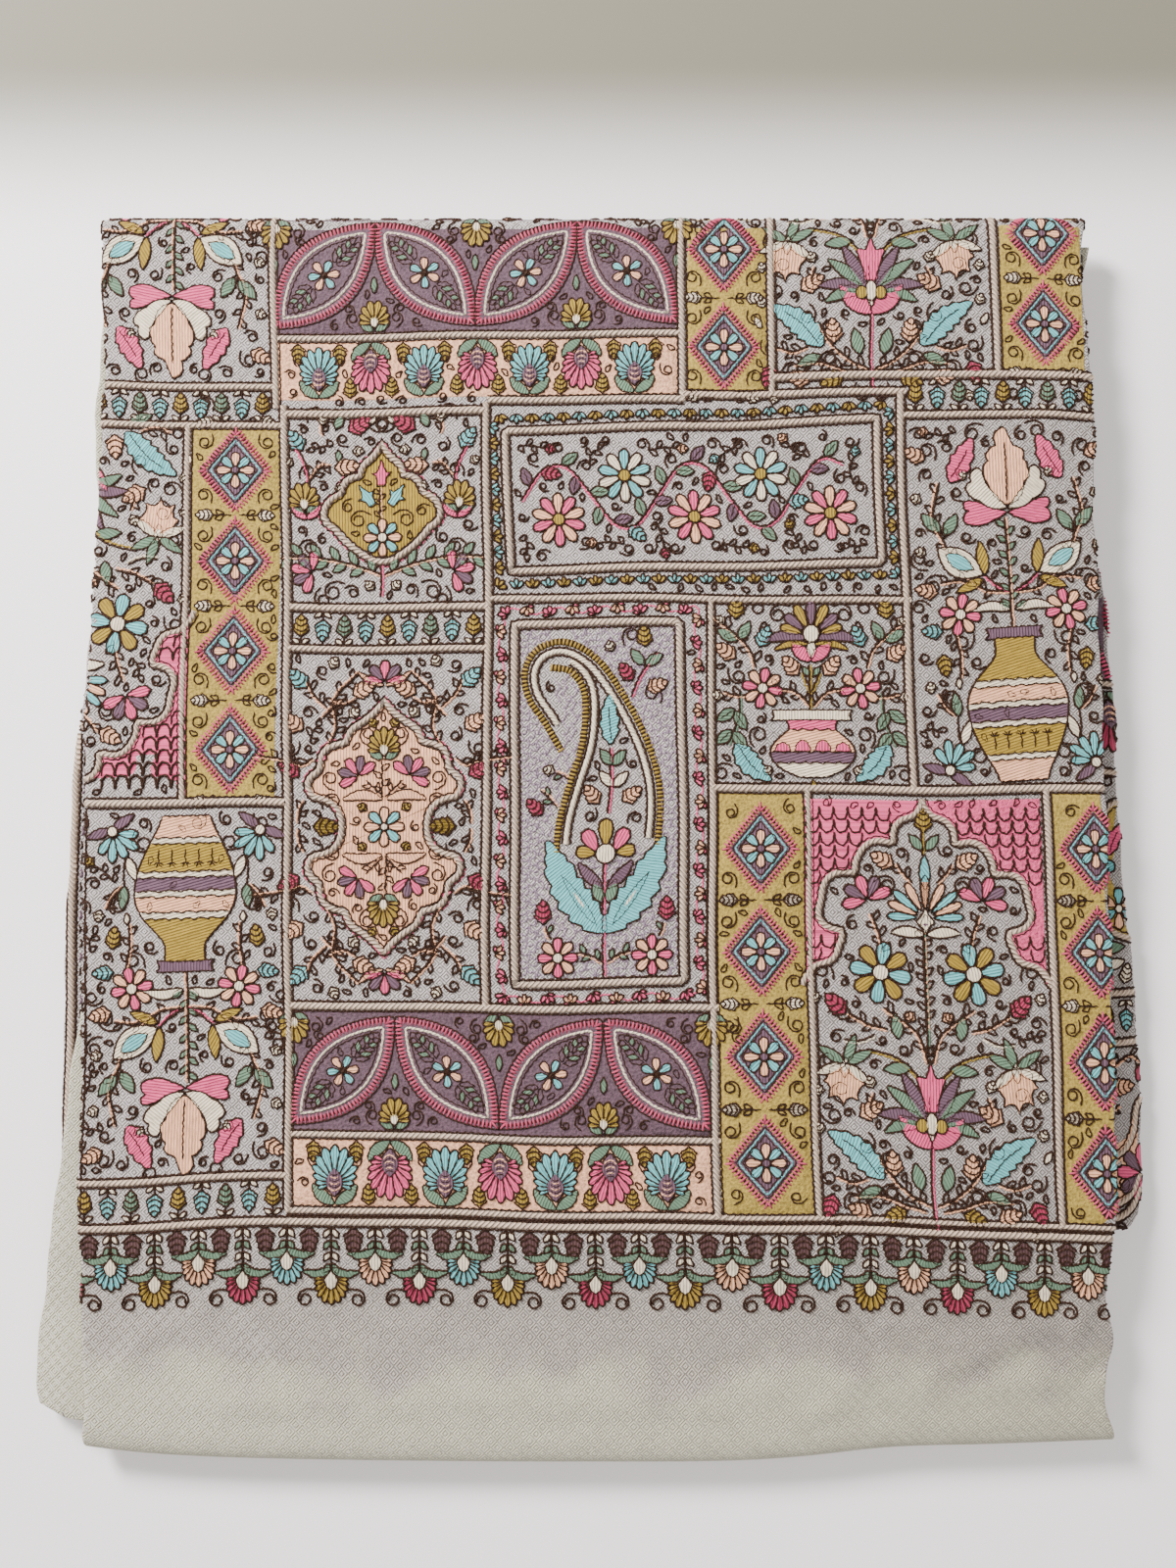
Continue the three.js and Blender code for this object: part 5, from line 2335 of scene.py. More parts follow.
# The flowering tree of the arch panel, from the arch's tip down.
ARCH_TREE = (
    (stalk, 0, -129, 0, [(0.6, 0), (0, 12), (0.4, 26), (0, 41)], PINK),
    (stalk, 0, -75, 0, [(0, 0), (0, 9), (0, 36)], GREEN), (spray, 0, -70, 0, [(0, 10), (0, 30)], 3.6, 2.1),
    (stalk, 0, -17, 0, [(0, 0), (0, 4), (0, 9)], OCHRE), (bud, 0, -10, 0, OCHRE, 6),
    (leaf, 0.4, -15.5, -40, 6.4, 3, GREEN), (lotus_fan, 0, -38.5, 0),
    (spray, 4, -26, -38, [(0.4, 4), (0, 8)], 3.4, 2.4), (bud, 9.4, -20.5, -62, PEACH, 6),
    (half_flower, 17.4, -31, -20, 7.4), (curl, 16, -26.4, 36, 4.6),
    (spray, 13.4, -49, -4, [(0.6, 7), (2.6, 14)], 3.6, 2.6), (flower, 14, -53, 10, 8, 9.4, DAISY, CREAM),
    (spray, 1.2, -79.5, -30, [(-1.6, 9), (3.4, 20)], 3.8, 2.8),
    (stalk, 3.6, -84, -40, [(0, 0), (1.4, 8), (7, 16)], OCHRE), (leaf, 5.6, -80.5, -96, 9, 3.6, GREEN),
    (leaf, 9.2, -72.6, -8, 8, 3.6, GREEN), (spray, 12.6, -70.4, -66, [(1.2, 6), (0.6, 13)], 3.4, 2.6),
    (bud, 25, -65.6, -44, ROSE, 6.4), (bud, 4, -66.8, -60, PEACH, 3.8), (curl, 30.6, -66, 30, 4.6),
    (curl, 28.4, -56, 10, 4.4, -1), (bud, 33.2, -62.4, -20, CREAM, 3.8), (lily, 25.6, -79.6, 186),
    (stalk, 16, -72, -100, [(0, 0), (1.2, 5), (0, 10)], CREAM), (great_lotus, 0, -98, 0),
    (bud, 17.4, -87, -24, CREAM, 3.8), (spray, 18.6, -96, 8, [(0.6, 4), (0, 8)], 3.2, 2.6),
    (bud, 21.6, -95.4, 60, PEACH, 6.4), (curl, 26.6, -92, -60, 4.4), (curl, 19.6, -99.4, 130, 4.4),
    (curl, 33.4, -94, 160, 4.2, -1), (bud, 33.4, -89.6, -8, CREAM, 3.6), (curl, 31.6, -83, -40, 4),
    (acanthus, 15.6, -113.6, -42, 20.6, 9.4, AQUA, 2, 6), (bud, 33, -100.6, -20, CREAM, 3.8),
    (spray, 1, -121.4, -52, [(1.4, 7), (0.6, 15), (-2.4, 22)], 3.6, 2.8), (bud, 11.4, -112.6, -6, PEACH, 6.2),
    (leaf, 3.6, -116.4, -12, 8.6, 4, GREEN), (leaf, 15.6, -116.2, -112, 8.4, 3.6, GREEN),
    (spray, 19.4, -114, -96, [(0.8, 5), (-1.4, 10)], 3.4, 2.6), (bud, 30.2, -118.4, 200, ROSE, 6),
    (bud, 29.4, -127.4, 196, CREAM, 3.6), (spray, 2.4, -123, -84, [(-1, 7), (-2.6, 14), (-1.4, 22)], 3.4, 2.8),
    (bud, 8.6, -122.6, -112, OCHRE, 6), (bud, 19, -124.4, -70, PEACH, 6), (curl, 4.4, -124.4, -150, 4.2, -1),
    (curl, 16, -120.4, -10, 4.2), (curl, 26.8, -123.4, -20, 4), (curl, 33.6, -110, 200, 4, -1),
    (leaf, 33.8, -107, -30, 4.4, 2, CREAM),
)


def eye_leaf(needle: Needle) -> None:
    """Draw a peach leaf with an aqua eye ahead of the needle.

    Args:
        needle: Its place and direction.
    """
    needle.shape([(0, 0, -0.3), (-0.6, 16.4, -0.22)], CREAM)
    inner = lobes([(0, 3.4, -0.25), (-0.2, 13.4, -0.2), (0, 3.4, 0)], 0.9)[:-1]
    needle.fan(inner, AQUA, 0.72)
    needle.line(inner, closed=True, height=0.7)


def vase_lotus(needle: Needle) -> None:
    """Draw the blossom over the tall vase: a peach leaf in cream and pink wings.

    Args:
        needle: Its place and direction.
    """
    for side in needle.sides():
        wing = [(0, 0.6, -0.05), (4.4, -1.6, -0.12), (11.6, -2.6, -0.3), (13.2, 0.4, -0.2), (11.4, 1.6, -0.3),
                (13, 4.8, -0.1), (6, 2.4, 0)]
        side.shape(wing, PINK, grain=80)
        horn = [(0, 1.8, -0.16), (8, 4.4, -0.12), (12.2, 8.2, -0.3), (10.2, 10.4, -0.2), (10, 14, -0.3),
                (7.2, 13.6, 0.1), (3.6, 6.4, 0)]
        side.shape(horn, CREAM, grain=50)
    tall = [(0, 2.6, 0.12), (5.4, 9.6, 0.2), (6.6, 13.6, 0.3), (5, 16.6, 0.2), (4.6, 20, 0.3), (2.4, 21, 0),
            (0, 27, 0), (-2.4, 21, 0.3), (-4.6, 20, 0.2), (-5, 16.6, 0.3), (-6.6, 13.6, 0.2),
            (-5.4, 9.6, 0.12)]
    needle.shape(tall[::-1], PEACH, rings=2)
    needle.line([(0, 4), (0.2, 12), (0, 22)], width=0.9, height=0.8)


def corner_flower(needle: Needle) -> None:
    """Draw five aqua petals ahead of the needle over mauve leaves.

    Args:
        needle: Its place and direction.
    """
    for turn, long in ((-62, 8), (-30, 9.4), (0, 9), (30, 9.4), (60, 8)):
        needle.at(0, 0.6, turn).petal(long - 1.6, 3.2, AQUA, 1.2)
    needle.disc(1.7, CREAM)
    for turn in (-100, 96):
        needle.at(0, -0.6, turn).leaf(8.6, 3, MAUVE)


def vase_panel(needle: Needle) -> None:
    """Draw the panel with a tall striped vase, standing on the needle.

    Args:
        needle: Its place and direction.
    """
    needle.vase(((0, 7.4), (2.6, 8.2), (8, 11), (14.8, 14), (20.6, 15.4), (26, 15.2), (31, 12.6), (35, 8.8),
                 (38, 6.4), (43.6, 6.2)),
                ((0, 6.4, PEACH), (6.4, 8.2, CREAM), (8.2, 16.6, OCHRE),
                 (16.6, 18.4, CREAM), (18.4, 22.4, MAUVE), (22.4, 24.2, CREAM),
                 (24.2, 28.8, PEACH), (28.8, 30.8, CREAM), (30.8, 43.6, OCHRE)))
    for x in (-8.2, -4.1, 0, 4.1, 8.2):
        tuft = needle.at(x, 9.8)
        tuft.line([(0, 0), (0.2, 2), (0, 4)], width=0.6, height=0.8)
        for turn in (-70, -30, 30, 70):
            tuft.at(0, 4, turn).line([(0, 0), (0.1, 0.8), (0, 1.7)], width=0.7, height=0.8)
    needle.shape([(-9, 43.4, -0.35), (-9, 46.6, 0), (9, 46.6, -0.35), (9, 43.4, 0)], MAUVE)
    needle.stem([(0, 46.6), (0.2, 49), (0, 51)])
    tree(needle, VASE_TREE)


# What grows from the tall vase, from its foot up.
VASE_TREE = (
    (spray, 0, 50.6, 0, [(0, 14), (-0.3, 30)], 3.8, 2.5, GREEN), (vase_lotus, 0, 81.4, 0),
    (crescent, 1, 52, -60, 10.4, 3, CREAM, -5.6), (leaf, 0.8, 52, -52, 4.4, 2, GREEN),
    (eye_leaf, 8.6, 63.2, -58), (leaf, 8, 63, -6, 11, 3.6, OCHRE), (leaf, 8.4, 62, -112, 9.6, 3.2, OCHRE),
    (stalk, 0.6, 57.2, -55, [(0, 0), (0.6, 5), (0, 9.6)], PINK),
    (spray, 0.6, 57, -72, [(1.4, 8), (-1.2, 14)], 3.4, 2.8), (flower, 16.4, 51.6, 12, 8, 6.6, COSMOS, CREAM),
    (spray, 17.6, 46, 176, [(0.8, 7), (0, 14)], 3.4, 2.7), (leaf, 17.8, 32.4, 180, 3.6, 1.8, CREAM),
    (curl, 12.4, 46, 178, 4.6), (acanthus, 17.4, 92.6, 34, 14.6, 8.2, PINK, 0.6, 4),
    (spray, 18, 66.6, -14, [(0.8, 8), (1.6, 16), (-3.4, 26)], 3.6, 2.9), (leaf, 20.8, 77, -42, 8.4, 4, GREEN),
    (leaf, 19.8, 76, 34, 8, 3.8, GREEN), (bud, 24.4, 99.4, -62, PEACH, 5.6), (bud, 14.6, 92.8, 42, CREAM, 3.8),
    (bud, 26, 87, -66, CREAM, 3.8), (bud, 25.6, 70.8, -70, CREAM, 3.8), (curl, 21.6, 98.6, 22, 4.2, -1),
    (curl, 5.6, 108.6, -60, 4.4, -1), (curl, 24.8, 66, -96, 4.6), (curl, 20.2, 63.4, -70, 4.8, -1),
    (spray, 13, 60.6, -88, [(-0.8, 4), (0, 9)], 3.2, 2.4), (bud, 22.8, 58.6, -76, PEACH, 5.6),
    (curl, 25, 54, -30, 3.8, -1), (bud, 22, 46.6, -84, AQUA, 5.2), (bud, 22.4, 39.8, 172, OCHRE, 5.4),
    (bud, 26.2, 28, -10, CREAM, 3.8), (spray, 19.6, 20.6, -36, [(0.6, 4), (0, 9)], 3.4, 2.4),
    (curl, 19.6, 20.6, -60, 5.4), (leaf, 18.6, 20.6, -6, 7.6, 3.2, GREEN), (leaf, 18, 12, 22, 8, 3, CREAM),
    (stalk, 18.4, 11, 0, [(0, 0), (0.6, 5), (0.4, 10)], None), (corner_flower, 22.6, 4.4, 28),
    (curl, 15.2, 3.4, -30, 5),
)


def medallion(needle: Needle, half: Sequence[tuple[float, float, float]], thread: Thread) -> None:
    """Draw a cusped medallion about the needle: its filled ground and its cord.

    Args:
        needle: The needle at its middle.
        half: The corners of its right half from the top down, with the bulge after each.
        thread: The ground's thread.
    """
    right = lobes(half, 1)
    ring = np.vstack([right, (right * (-1, 1))[::-1][1:-1]])
    middle = ring.mean(axis=0)
    reach = np.hypot(*(ring - middle).T)[:, None]
    needle.fan(middle + (ring - middle) * (1 - 1 / reach), thread, 0.18, rings=8, kind=Kind.GROUND)
    needle.cord(ring, 1.9, closed=True)
    needle.line(middle + (ring - middle) * (1 + 1.55 / reach), PINK, 0.6, 0.3, closed=True)


def medallion_panel(needle: Needle) -> None:
    """Draw the panel with the tall peach medallion about the needle.

    Args:
        needle: Its place and direction.
    """
    upper = [(0, 38.8, -0.06), (7.6, 31.6, 0.14), (11.4, 26, 0), (12.2, 25.6, 0.26), (19.4, 17.4, 0),
             (20.2, 16.8, 0.3), (21.6, 9, 0), (19.8, 8.4, -0.34)]
    lower = [(x, -y, bulge) for (x, y, _), (_, _, bulge) in zip(upper[::-1], [*upper[::-1][1:], upper[0]])]
    half = [*upper[:-1], (19, 8.6, -0.2), (13, 0, -0.2), (19, -8.6, 0), *lower[1:]]
    medallion(needle, half, PEACH)
    for end in (needle, needle.at(0, 0, 180)):
        tree(end, MEDALLION_TREE)
    needle.flower(8, 6.2, (PEACH, AQUA), heart=CREAM, core=0.2)


# One half of the medallion panel, from its middle up.
MEDALLION_TREE = (
    (crescent, 0.8, 8.6, -64, 10.6, 3.2, PEACH, -5.4), (spray, 0, 8, 0, [(0, 6), (0, 12.4)], 3.2, 2.4),
    (spray, 0.6, 8.6, -46, [(0, 4), (0, 7.6)], 3, 2.3), (half_flower, 7.8, 15.6, -34, 6),
    (curl, 14.4, 11, -80, 4.2), (half_daisy, 0, 20.4, 0, OCHRE, 9), (curl, 4.2, 24.6, -64, 4),
    (bud, 2.4, 30.4, -30, OCHRE, 3.6), (bud, 5.2, 5.2, -60, OCHRE, 3.4), (half_flower, 0, 44.6, 0, 6.2),
    (crescent, 0.4, 43.4, -78, 8.4, 2, PEACH, 2.6),
    (spray, 18.8, 22, 14, [(-1.6, 9), (1, 18), (-4.2, 28)], 3.6, 2.7),
    (spray, 17.6, 36, -36, [(1, 6), (0, 11)], 3.4, 2.6), (spray, 19.2, 33.6, 64, [(1.6, 4), (2, 8)], 3.2, 2.4),
    (bud, 23.6, 42.6, -44, AQUA, 6), (bud, 9.6, 40.6, 62, PEACH, 6),
    (spray, 16.6, 39, 84, [(-1.6, 4), (0, 8)], 3, 2.4), (bud, 16.4, 48.8, 26, CREAM, 4),
    (bud, 24.4, 29.6, -56, PEACH, 6), (curl, 25.8, 26.6, 170, 4), (bud, 10.6, 33.8, 50, CREAM, 4),
    (spray, 21.2, 20.6, -110, [(1, 4), (-1.8, 8), (-7, 18)], 3.4, 2.6), (petal, 21, 19.8, 64, 4.2, 2, PINK),
    (bud, 25.6, 15.4, -60, ROSE, 5.8), (curl, 18.6, 4.6, -10, 4.4), (bud, 21.6, 0, 90, OCHRE, 6.4),
    (spray, 26.6, 0.6, 16, [(0.8, 4), (0, 8)], 3.2, 2.4),
)


def shield_panel(needle: Needle) -> None:
    """Draw the panel with the ochre shield about the needle.

    Args:
        needle: Its place and direction.
    """
    half = [(0, 20.4, -0.08), (5.4, 13.8, 0.12), (6.4, 10.2, 0), (7, 9.8, 0.24), (12.4, 4.6, 0),
            (13, 4, 0.14), (18, -1.4, 0.2), (14.6, -6.6, 0.06), (4.6, -15.6, 0.1), (0, -17, 0)]
    medallion(needle, half, OCHRE)
    tree(needle, SHIELD_TREE)


def tulip(needle: Needle, thread: Thread, size: float = 1) -> None:
    """Draw a three-pointed blossom ahead of the needle."""
    art = needle.at(0, 0, size=size)
    art.shape([(-1.4, 0, -0.2), (-3.4, 4.4, 0), (-1.7, 4, -0.05), (0, 8.8, -0.05), (1.7, 4, 0),
               (3.4, 4.4, -0.2), (1.4, 0, 0)], thread)


# The shield panel, about the shield's middle.
SHIELD_TREE = (
    (tulip, 0, 6.6, 0, PINK, 1), (spray, 0, -4.6, 0, [(0, 6), (0, 11)], 2.6, 1.9),
    (tulip, 2.6, 0.4, -34, AQUA, 0.95), (curl, 2.8, -3, -50, 4.6, -1),
    (flower, 0, -9.6, 0, 8, 6, (PEACH, AQUA), CREAM), (stalk, 0, -28, 0, [(0, 0), (0.2, 5), (0, 10.4)], PINK),
    (spray, 0.6, -21.6, -66, [(0.6, 9), (3.2, 20), (7.6, 30)], 5.4, 3, GREEN),
    (half_daisy, 23.6, -2.4, -6, OCHRE, 8), (crescent, 23.2, -3.8, -60, 6.4, 2.6, PINK, 1.2),
    (crescent, 23.2, -3.8, 56, 6.4, 2.6, PINK, -1.2),
    (stalk, 23.4, 5.4, 4, [(0, 0), (0.2, 5), (3, 11), (7.4, 17)], PINK), (bud, 10.4, 24.4, 60, ROSE, 6.6),
    (spray, 22.8, 8.6, 40, [(0.4, 4), (0, 8)], 3.2, 2.4), (bud, 14.6, 12.6, 84, PEACH, 6.2),
    (spray, 20.4, 12.8, 80, [(0.4, 2.6), (0, 5)], 3, 2.4), (bud, 24.6, 18.2, -34, AQUA, 6),
    (leaf, 14.4, 25, 24, 5.6, 2.8, GREEN), (spray, 18.4, 22.6, -16, [(0.2, 2), (-0.4, 4)], 3, 2),
    (bud, 18.6, 26.4, 10, CREAM, 3.8), (curl, 22.8, 26.6, -20, 4.2), (curl, 14.6, 27.6, -96, 3.4),
    (curl, 4.6, 27, 150, 4.2, -1), (leaf, 4, 26.4, 40, 3.6, 1.8, CREAM), (bud, 9, 18.2, 96, CREAM, 3.6),
    (leaf, 13.6, 18.4, 170, 4.4, 2, GREEN), (bud, 13.4, 8, 160, CREAM, 3.6), (curl, 25.2, 8.4, -14, 3.8),
    (bud, 27.4, 13.4, -60, CREAM, 3.4), (half_flower, 21.6, -20.4, -78, 6.4), (curl, 26.4, -14.6, 12, 4.4),
    (curl, 11, -24, -66, 4.8, -1), (bud, 2.8, -25.6, -44, CREAM, 3.6), (curl, 18.6, -24.6, -130, 4.2, -1),
)


def meander(needle: Needle, x0: float, x1: float, y0: float, y1: float, clear: Array) -> None:
    """Draw rows of wandering lilac stitches, except where a shape lies.

    Args:
        needle: Its place and direction.
        x0: Its left edge.
        x1: Its right edge.
        y0: Its front edge.
        y1: Its back edge.
        clear: The shape that they leave free.
    """
    for number in range(round((x1 - x0) / 2.5)):
        x = x0 + (number + 0.5) * 2.5
        t = np.arange(y0, y1, 0.45)
        start = needle.work.random.uniform(0, 6.28, 3)
        path = abreast(x + 1.25 * np.sin(t * 1.55 + start[0]) + 0.5 * np.sin(t * 0.7 + start[1]),
                         t + 0.95 * np.sin(t * 3.1 + start[2]))
        free = ~inside(clear, path)
        runs = np.flatnonzero(np.diff(np.concatenate([[0], free.astype(int), [0]])))
        for first, last in zip(runs[::2], runs[1::2]):
            if last - first > 8:
                needle.line(path[first:last], LILAC, 0.75, 0.34, wobble=0.06)


def bud_border(needle: Needle, x0: float, x1: float, y0: float, y1: float, threads: Sequence[Thread],
               gap: float, vine: bool) -> None:
    """Draw a row of small buds round a rectangle, along a vine or each on its own.

    Args:
        needle: Its place and direction.
        x0: Its left edge.
        x1: Its right edge.
        y0: Its front edge.
        y1: Its back edge.
        threads: What the buds take in turn.
        gap: How far apart they are.
        vine: Whether a vine joins them.
    """
    ring = np.array([(x0, y0), (x1, y0), (x1, y1), (x0, y1)], float)
    fine = even(ring, 0.9, closed=True)
    if vine:
        length = np.arange(len(fine)) * 0.9
        needle.line(fine + normals(fine, True) * (0.95 * np.sin(2 * math.pi * length / (2 * gap)))[:, None],
                    PINK, 0.8, 0.4, closed=True)
    places = even(ring, gap, closed=True)
    side = normals(places, closed=True)
    for number, (place, out) in enumerate(zip(places, side)):
        facing = 1 if number % 2 or not vine else -1
        turn = math.degrees(math.atan2(-facing * out[0], facing * out[1]))
        art = needle.at(*(place - 1.4 * facing * out), turn)
        thread = threads[number % len(threads)]
        for lean in (-44, 44, 0):
            art.at(0, 0, lean).petal(3, 1.5, thread, point=0.6)
        if vine:
            art.at(0, 0, 90).leaf(2.2, 1.1, PINK)


PAISLEY_OUTER = ((15.6, -27.4), (16.4, -17), (15.8, -7), (12.4, 4.8), (6, 17.6), (-2.2, 29.2), (-11.6, 34.8),
                 (-20, 33.2), (-24.2, 26.8), (-23.2, 18.4), (-18, 10.2), (-13.4, 2))
PAISLEY_INNER = ((-16.2, 27.2), (-10.6, 26), (-6.6, 20.8), (-5.8, 13.6), (-7, 3.2), (-10.6, -7.4),
                 (-13.8, -18.4), (-15, -28.6))


def paisley_panel(needle: Needle) -> None:
    """Draw the panel with a hooked paisley about the needle, in a double border.

    Args:
        needle: Its place and direction.
    """
    frame = np.array([(-27.2, -68.6), (23.6, -68.6), (23, 40.6), (-27.6, 40.6)])
    needle.cord(even(frame, 1.2, closed=True), 2.3, closed=True)
    bud_border(needle, -31.6, 28.4, -73, 44.6, (PINK, PEACH), 7, True)
    outer, inner = curve(PAISLEY_OUTER), curve(PAISLEY_INNER)
    body = np.vstack([outer, inner])
    meander(needle, -25.6, 21.4, -66.8, 39, body)
    needle.comb(outer, 2.7, OCHRE)
    needle.comb(inner, 2.7, OCHRE)
    needle.cord(outer[2:-9] + normals(outer)[2:-9] * 2.9, 1.7, thread=CREAM)
    needle.cord(inner[6:-3] + normals(inner)[6:-3] * 2.7, 1.7, thread=CREAM)
    tree(needle, PAISLEY_TREE)
    draw_each(needle, PAISLEY_ALONE)


def stripe_acanthus(needle: Needle) -> None:
    """Draw a large aqua leaf with a cream stripe ahead of the needle."""
    needle.acanthus(33, 12.4, AQUA, -3, 7, rib=False)
    needle.at(0.2, 3, 1).leaf(19, 2.4, CREAM)


# What grows at the foot of the paisley, on both sides, and what lies on one side only.
PAISLEY_TREE = (
    (stalk, 0, -66.8, 0, [(0.2, 0), (0, 8), (0.2, 14)], PINK),
    (stalk, 0, -53.6, 0, [(0, 0), (0, 10), (0, 22.6)], PINK), (stripe_acanthus, 0.4, -53.6, -36),
    (leaf, 0.8, -44.6, -20, 7.6, 3.6, GREEN), (crescent, 0.8, -40, -52, 10.6, 3.4, MAUVE, 1.6),
    (petal, 2.6, -29, -30, 7.6, 5.2, PINK), (petal, 3, -29.6, -82, 6, 4.6, OCHRE),
    (petal, 0, -27.6, 0, 8.4, 5.2, OCHRE), (disc, 0, -29.8, 0, 3.1, CREAM),
    (flower, 14.2, -60.6, 0, 8, 6.2, COSMOS, CREAM), (spray, 1, -63, -66, [(-0.6, 4), (0, 8)], 3.4, 2.2, GREEN),
    (spray, 16.8, -55.4, -20, [(0.2, 2.4), (0, 4.6)], 3, 2, GREEN), (bud, 18.6, -50.4, 0, ROSE, 5.8),
)
PAISLEY_ALONE = (
    (stalk, 1.6, -17.8, 0, [(-0.6, 0), (0.4, 9), (0.4, 20)], PINK), (acanthus, 2, 3.4, 4, 15, 7, AQUA, 0.4, 4),
    (leaf, 2, -3.4, 34, 6.4, 3.2, GREEN), (leaf, 2, -3.4, -42, 6.4, 3.2, GREEN),
    (leaf, 2.2, -9.8, 40, 6.6, 3, CREAM), (leaf, 2.2, -9.8, -46, 6.6, 3, CREAM),
    (bud, -2.2, -14.6, 36, PEACH, 5.4), (bud, 5, -14.2, -56, PEACH, 5.4),
    (stalk, 8.6, 17, -28, [(0, 0), (-0.6, 7), (0.4, 16)], PINK), (bud, 12.4, 32.6, 4, OCHRE, 5.4),
    (leaf, 12, 27, 38, 6.6, 3.2, GREEN), (leaf, 12.2, 27, -58, 6.8, 3.2, GREEN),
    (bud, 8.6, 22.4, 36, ROSE, 5.2), (bud, 12.8, 19.6, -70, PEACH, 5.4), (curl, 6.6, 32.6, 30, 4.2, -1),
    (bud, 2.4, 31.4, 24, CREAM, 3.8), (curl, 16.8, 14.6, -20, 4.4),
    (spray, -14.2, -15, 44, [(0.4, 4), (0, 7.6)], 3.2, 2.4, GREEN), (bud, -19.2, -17.4, 44, ROSE, 5.2),
    (spray, -10.8, -6.2, 68, [(0.4, 3), (0, 5)], 2.8, 2, GREEN), (bud, -15.4, -4.6, 70, CREAM, 3.8),
)


def wide_panel(needle: Needle) -> None:
    """Draw the wide panel about the needle: a waving vine with daisies, in a border of buds.

    Args:
        needle: Its place and direction.
    """
    needle.cord(even(np.array([(-57.6, -22), (57, -22), (57, 22), (-57.6, 22)]), 1.2, closed=True), 2.2,
                closed=True)
    bud_border(needle, -61, 60.6, -25.8, 25.8, (OCHRE, AQUA), 4.9, False)
    x = np.linspace(-53, 53, 120)
    vine = needle.stem(abreast(x, 10.5 * np.cos(x * math.pi / VINE_STEP))[::8], PINK)
    for number in range(1, 24):
        branch = needle.heading(vine, number / 24).at(0, 0, 52 if number % 2 else -52)
        if number % 6 == 2:
            branch.bud(ROSE if number % 4 else AQUA, 5.2)
        else:
            branch.leaf(6.4, 3.4, (GREEN, MAUVE, GREEN)[number % 3], vein=True)
    for column, petals in enumerate(VINE_FLOWERS, -2):
        bowl = needle.at(column * VINE_STEP, 6.5 if column % 2 else -6.5)
        bowl.flower(10, 8.4, petals, heart=OCHRE, core=0.24)


VINE_STEP = 21
VINE_FLOWERS = ((PEACH, PINK), (AQUA, CREAM), (PINK, PEACH), (AQUA, CREAM), (PEACH, PINK))


def small_vase_panel(needle: Needle) -> None:
    """Draw the panel with the low round vase, standing on the needle.

    Args:
        needle: Its place and direction.
    """
    needle.vase(((0, 4), (2, 8.6), (4.6, 11.8), (7.2, 13), (10, 12.2), (12.6, 9.6), (14.6, 7.2), (17.6, 7.8)),
                ((0, 4.4, CREAM), (4.4, 7.8, MAUVE), (7.8, 14.6, PEACH), (14.6, 17.6, PINK)))
    for x in (-9.2, -3.1, 3.1, 9.2):
        tall = 3.6 if abs(x) < 5 else 2.8
        scallop = np.array([(x - 2.6, 8), (x - 1.7, 8 + tall * 0.7), (x, 8 + tall), (x + 1.7, 8 + tall * 0.7),
                            (x + 2.6, 8), (x, 7.8)])
        needle.fan(scallop, PINK, 0.72)
        needle.line(scallop, closed=True, height=0.7, width=0.6)
    needle.shape([(-12.6, 17.6, -0.35), (-12.6, 20.6, 0), (12.6, 20.6, -0.35), (12.6, 17.6, 0)], CREAM)
    needle.shape([(-6.4, -3.4, -0.3), (0, -0.2, -0.3), (6.4, -3.4, 0)], OCHRE)
    tree(needle, SMALL_VASE_TREE)


def crown_flower(needle: Needle) -> None:
    """Draw the blossom over the low vase: ochre and mauve petals over drooping and pink ones.

    Args:
        needle: Its place and direction.
    """
    for turn, thread, long in ((0, MAUVE, 11.6), (26, OCHRE, 11), (50, MAUVE, 10.6),
                               (72, OCHRE, 10)):
        for side in needle.sides() if turn else (needle,):
            side.at(0, 0, -turn).petal(long - 3, 3.5, thread, 3)
    needle.at(0, 0.8).disc(2.6, CREAM, 1.1)
    for side in needle.sides():
        side.at(1.4, -0.6, -72).crescent(12.6, 3.4, MAUVE, -5)
        side.at(1.2, -2.4, -78).crescent(9.6, 2.4, OCHRE, -3.8)
        side.at(0.2, -7.6, -50).crescent(8.2, 4.2, PINK, 0.8)
    needle.at(0, -7.4).leaf(7.4, 3, CREAM)


